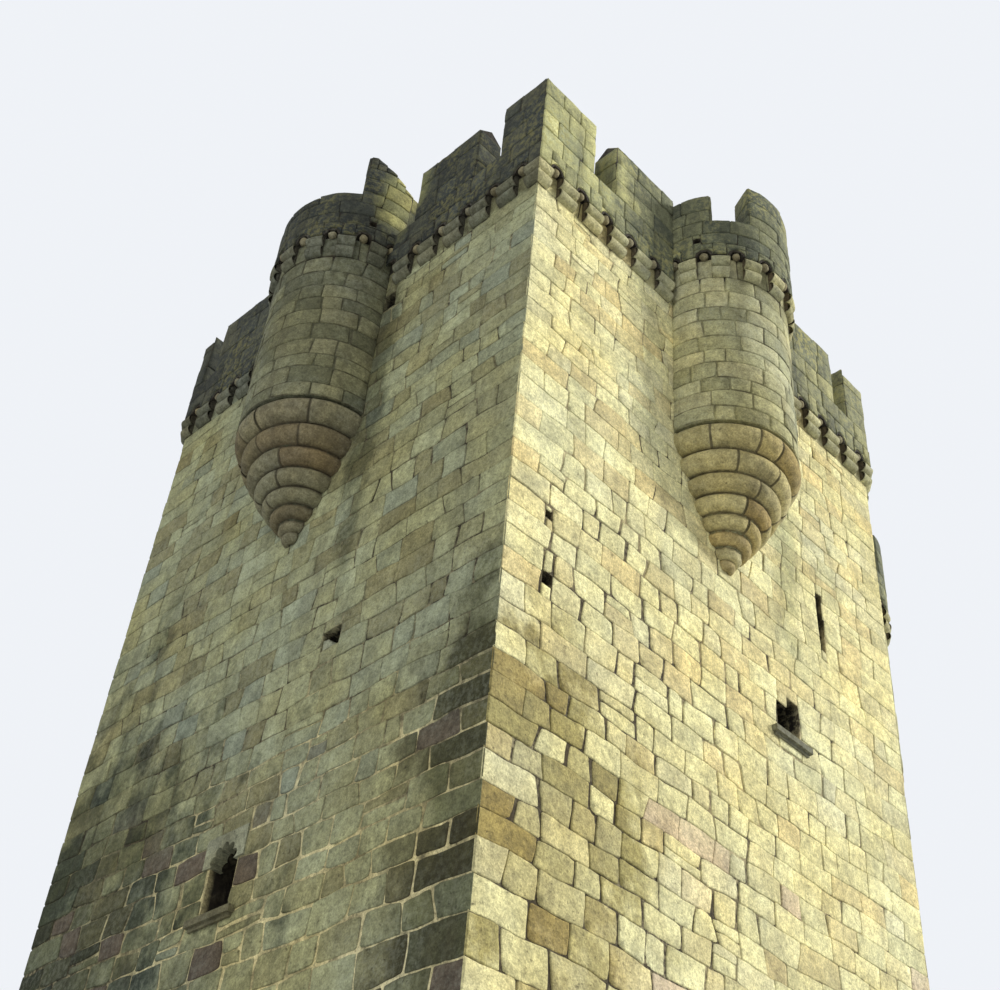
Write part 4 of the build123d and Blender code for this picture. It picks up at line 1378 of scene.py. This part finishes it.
class KEEP_OT_materials(bpy.types.Operator):
    """Makes the stone materials and puts them on the solids of the part"""
    bl_idname = "keep.materials"
    bl_label = "Stone materials"

    def execute(self, context):
        blotch_group()
        weather_group()
        stone_tree()
        ball_tree()
        for name, values in STONES.items():
            stone_material(name, **values)
        for wall in WALLS:
            mortar_material(wall)
        for name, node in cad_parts.items():
            # Pieces of the two right walls take the sunny copies, with painted sun; the rest the shaded ones,
            # with painted shade.
            side = "_sunny" if name.startswith(("front_right", "side_right")) else "_shaded"
            material = "drum" + side
            if "_wall" in name:
                material = "mortar_" + name[:name.index("_wall")]
            elif name.endswith("_sill"):
                material = "sill_stone"
            elif name.endswith("_floor"):
                material = "floor_stone"
            # The parapets' solids show only in the arches round the balls, the corbels' only in the niches:
            # both take painted shade.
            elif name.endswith("_parapet"):
                material = "arch_soot"
            elif name.endswith("_corbels"):
                material = "niche" + side
            for slot in node.material_slots:
                slot.material = bpy.data.materials[material]
        return {"FINISHED"}


class KEEP_OT_walls(bpy.types.Operator):
    """Lays the ashlar of the five walls"""
    bl_idname = "keep.walls"
    bl_label = "Wall ashlar"

    def execute(self, context):
        settings = context.scene.keep
        rng = random.Random(settings.seed)
        levels = course_levels(0, CORBEL_LEVEL, settings.course_height, rng, WALL_STYLE["taper"])
        levels.append(PARAPET_BASE - 0.01)
        for wall in WALLS:
            lay_wall(wall, levels, settings.seed + wall.index)
        fill_hollow(WALLS[FRONT_LEFT], settings.seed)
        return {"FINISHED"}


class KEEP_OT_parapets(bpy.types.Operator):
    """Lays the parapets' ashlar and copings, and the terrace's paving"""
    bl_idname = "keep.parapets"
    bl_label = "Parapets"

    def execute(self, context):
        for wall in WALLS:
            lay_parapet(wall, context.scene.keep.seed + 20 + wall.index)
        lay_paving(context.scene.keep.seed + 19)
        return {"FINISHED"}


class KEEP_OT_bartizans(bpy.types.Operator):
    """Lays the round stonework of the bartizans"""
    bl_idname = "keep.bartizans"
    bl_label = "Bartizans"

    def execute(self, context):
        seed = context.scene.keep.seed
        for wall in WALLS:
            lay_drum(wall, seed + 40 + wall.index)
            lay_rings(wall, seed + 60 + wall.index)
            lay_bartizan_parapet(wall, seed + 80 + wall.index)
        return {"FINISHED"}


class KEEP_OT_balls(bpy.types.Operator):
    """Sets a stone ball in each small arch under the parapets"""
    bl_idname = "keep.balls"
    bl_label = "Arch balls"

    def execute(self, context):
        settings = context.scene.keep
        for wall in WALLS:
            grow(wall.name + "_arch_balls", ball_mesh(wall), "Stone balls", "ball_stone", "weathered_stone",
                 {"Radius": settings.ball_radius, "Seed": settings.seed})
        return {"FINISHED"}


class KEEP_OT_corbels(bpy.types.Operator):
    """Rounds the double rolls of the corbels"""
    bl_idname = "keep.corbels"
    bl_label = "Corbel rolls"

    def execute(self, context):
        for wall in WALLS:
            lay_corbels(wall, context.scene.keep.seed + 100 + wall.index)
        return {"FINISHED"}


class KEEP_OT_window_heads(bpy.types.Operator):
    """Carves the lobed heads of the round-headed windows"""
    bl_idname = "keep.window_heads"
    bl_label = "Window heads"

    def execute(self, context):
        for wall in WALLS:
            for left, right, bottom, top in WINDOWS[wall.index]:
                if (bottom, top) == LOWER_ROW:
                    window_head(wall, left, right, top)
        return {"FINISHED"}


class KEEP_OT_stage(bpy.types.Operator):
    """Adds the pale floor and sky, the soft lights and the camera low in front of the prow"""
    bl_idname = "keep.stage"
    bl_label = "Stage"

    def execute(self, context):
        make_floor()
        make_world()
        make_lights()
        make_camera()
        context.scene.view_settings.view_transform = "Standard"
        return {"FINISHED"}


def make_floor():
    """A pale floor that reaches far beyond the keep, a hair under its base, without any shine."""
    reach = 250.0
    mesh = bpy.data.meshes.new("floor")
    mesh.from_pydata([(x, y, 0) for x, y in upright(-reach, reach, -reach, reach)], [], [(0, 1, 2, 3)])
    material = bpy.data.materials.new("pale_floor")
    material.use_nodes = True
    inputs = material.node_tree.nodes["Principled BSDF"].inputs
    inputs["Base Color"].default_value = (0.715, 0.735, 0.765, 1.0)
    inputs["Roughness"].default_value = 1.0
    inputs["Specular IOR Level"].default_value = 0.0
    mesh.materials.append(material)
    floor = put("floor", mesh)
    floor.location.z = -0.002


def make_world():
    """A pale sky to look at, and a dimmer one that lights the stone."""
    world = bpy.data.worlds.new("pale")
    bpy.context.scene.world = world
    world.use_nodes = True
    tree = world.node_tree
    back = tree.nodes["Background"]
    path = add_node(tree, "ShaderNodeLightPath")
    seen = maths(tree, "MAXIMUM", path.outputs["Is Camera Ray"], path.outputs["Is Glossy Ray"])
    tint = blended(tree, seen, (0.39, 0.4, 0.42), (0.865, 0.89, 0.93))
    tree.links.new(tint, back.inputs["Color"])


# Soft lights: direction that each comes from, width in degrees and strength
LIGHTS = {
    "key": ((1.45, -1.0, 0.85), 12.0, 4.05),
    "fill": ((-1.0, -0.3, 0.45), 35.0, 0.82),
    "back": ((0.5, 1.0, 0.7), 35.0, 0.78),
}


def make_lights():
    """A soft key light from the right and in front, and weaker ones from the left and behind."""
    distance, middle_height = 70, 13
    for name, (direction, width, strength) in LIGHTS.items():
        lamp = bpy.data.lights.new(name, "SUN")
        lamp.angle = math.radians(width)
        lamp.energy = strength
        light = put(name, lamp)
        light.location = Vector(direction).normalized() * distance + Vector((0, 0, middle_height))
        light.rotation_euler = (-Vector(direction)).to_track_quat("-Z", "Y").to_euler()


# Where the camera stands: back from the prow along its bisector, to the right of it, and above the ground
CAMERA_BACK = 16.47
CAMERA_RIGHT = 0.582
CAMERA_HEIGHT = 1.6

# How the camera is turned, and its lens on a picture 36 mm wide
CAMERA_HEADING = math.radians(-42.55)
CAMERA_PITCH = math.radians(41.37)
CAMERA_ROLL = math.radians(5.66)
CAMERA_LENS = 52.0
PICTURE_WIDTH = 36.0


def make_camera():
    """The camera low in front of the prow, as in the photo."""
    lens = bpy.data.cameras.new("camera")
    lens.sensor_width = PICTURE_WIDTH
    lens.lens = CAMERA_LENS
    lens.clip_end = 500.0
    camera = put("camera", lens)
    bisector = Vector((1, 1, 0)).normalized()
    right = Vector((1, -1, 0)).normalized()
    camera.location = PROW - bisector * CAMERA_BACK + right * CAMERA_RIGHT + Vector((0, 0, CAMERA_HEIGHT))
    heading = Matrix.Rotation(CAMERA_HEADING, 3, "Z")
    pitch = Matrix.Rotation(math.pi / 2 + CAMERA_PITCH, 3, "X")
    roll = Matrix.Rotation(CAMERA_ROLL, 3, "Z")
    camera.rotation_euler = (heading @ pitch @ roll).to_euler()
    bpy.context.scene.camera = camera


class KEEP_PT_panel(bpy.types.Panel):
    bl_label = "Keep"
    bl_idname = "KEEP_PT_panel"
    bl_space_type = "VIEW_3D"
    bl_region_type = "UI"
    bl_category = "Keep"

    def draw(self, context):
        settings = context.scene.keep
        for name in ("course_height", "seed", "ball_radius"):
            self.layout.prop(settings, name)
        for step in STEPS:
            self.layout.operator(step.bl_idname)


STEPS = (
    KEEP_OT_materials, KEEP_OT_walls, KEEP_OT_parapets, KEEP_OT_bartizans, KEEP_OT_corbels, KEEP_OT_balls,
    KEEP_OT_window_heads, KEEP_OT_stage,
)


def register():
    for item in (KeepSettings, *STEPS, KEEP_PT_panel):
        bpy.utils.register_class(item)
    bpy.types.Scene.keep = bpy.props.PointerProperty(type=KeepSettings)


def unregister():
    del bpy.types.Scene.keep
    for item in (KEEP_PT_panel, *reversed(STEPS), KeepSettings):
        bpy.utils.unregister_class(item)


def main():
    register()
    bpy.ops.keep.materials()
    bpy.ops.keep.walls()
    bpy.ops.keep.parapets()
    bpy.ops.keep.bartizans()
    bpy.ops.keep.corbels()
    bpy.ops.keep.balls()
    bpy.ops.keep.window_heads()
    bpy.ops.keep.stage()


if __name__ == "__main__":
    main()
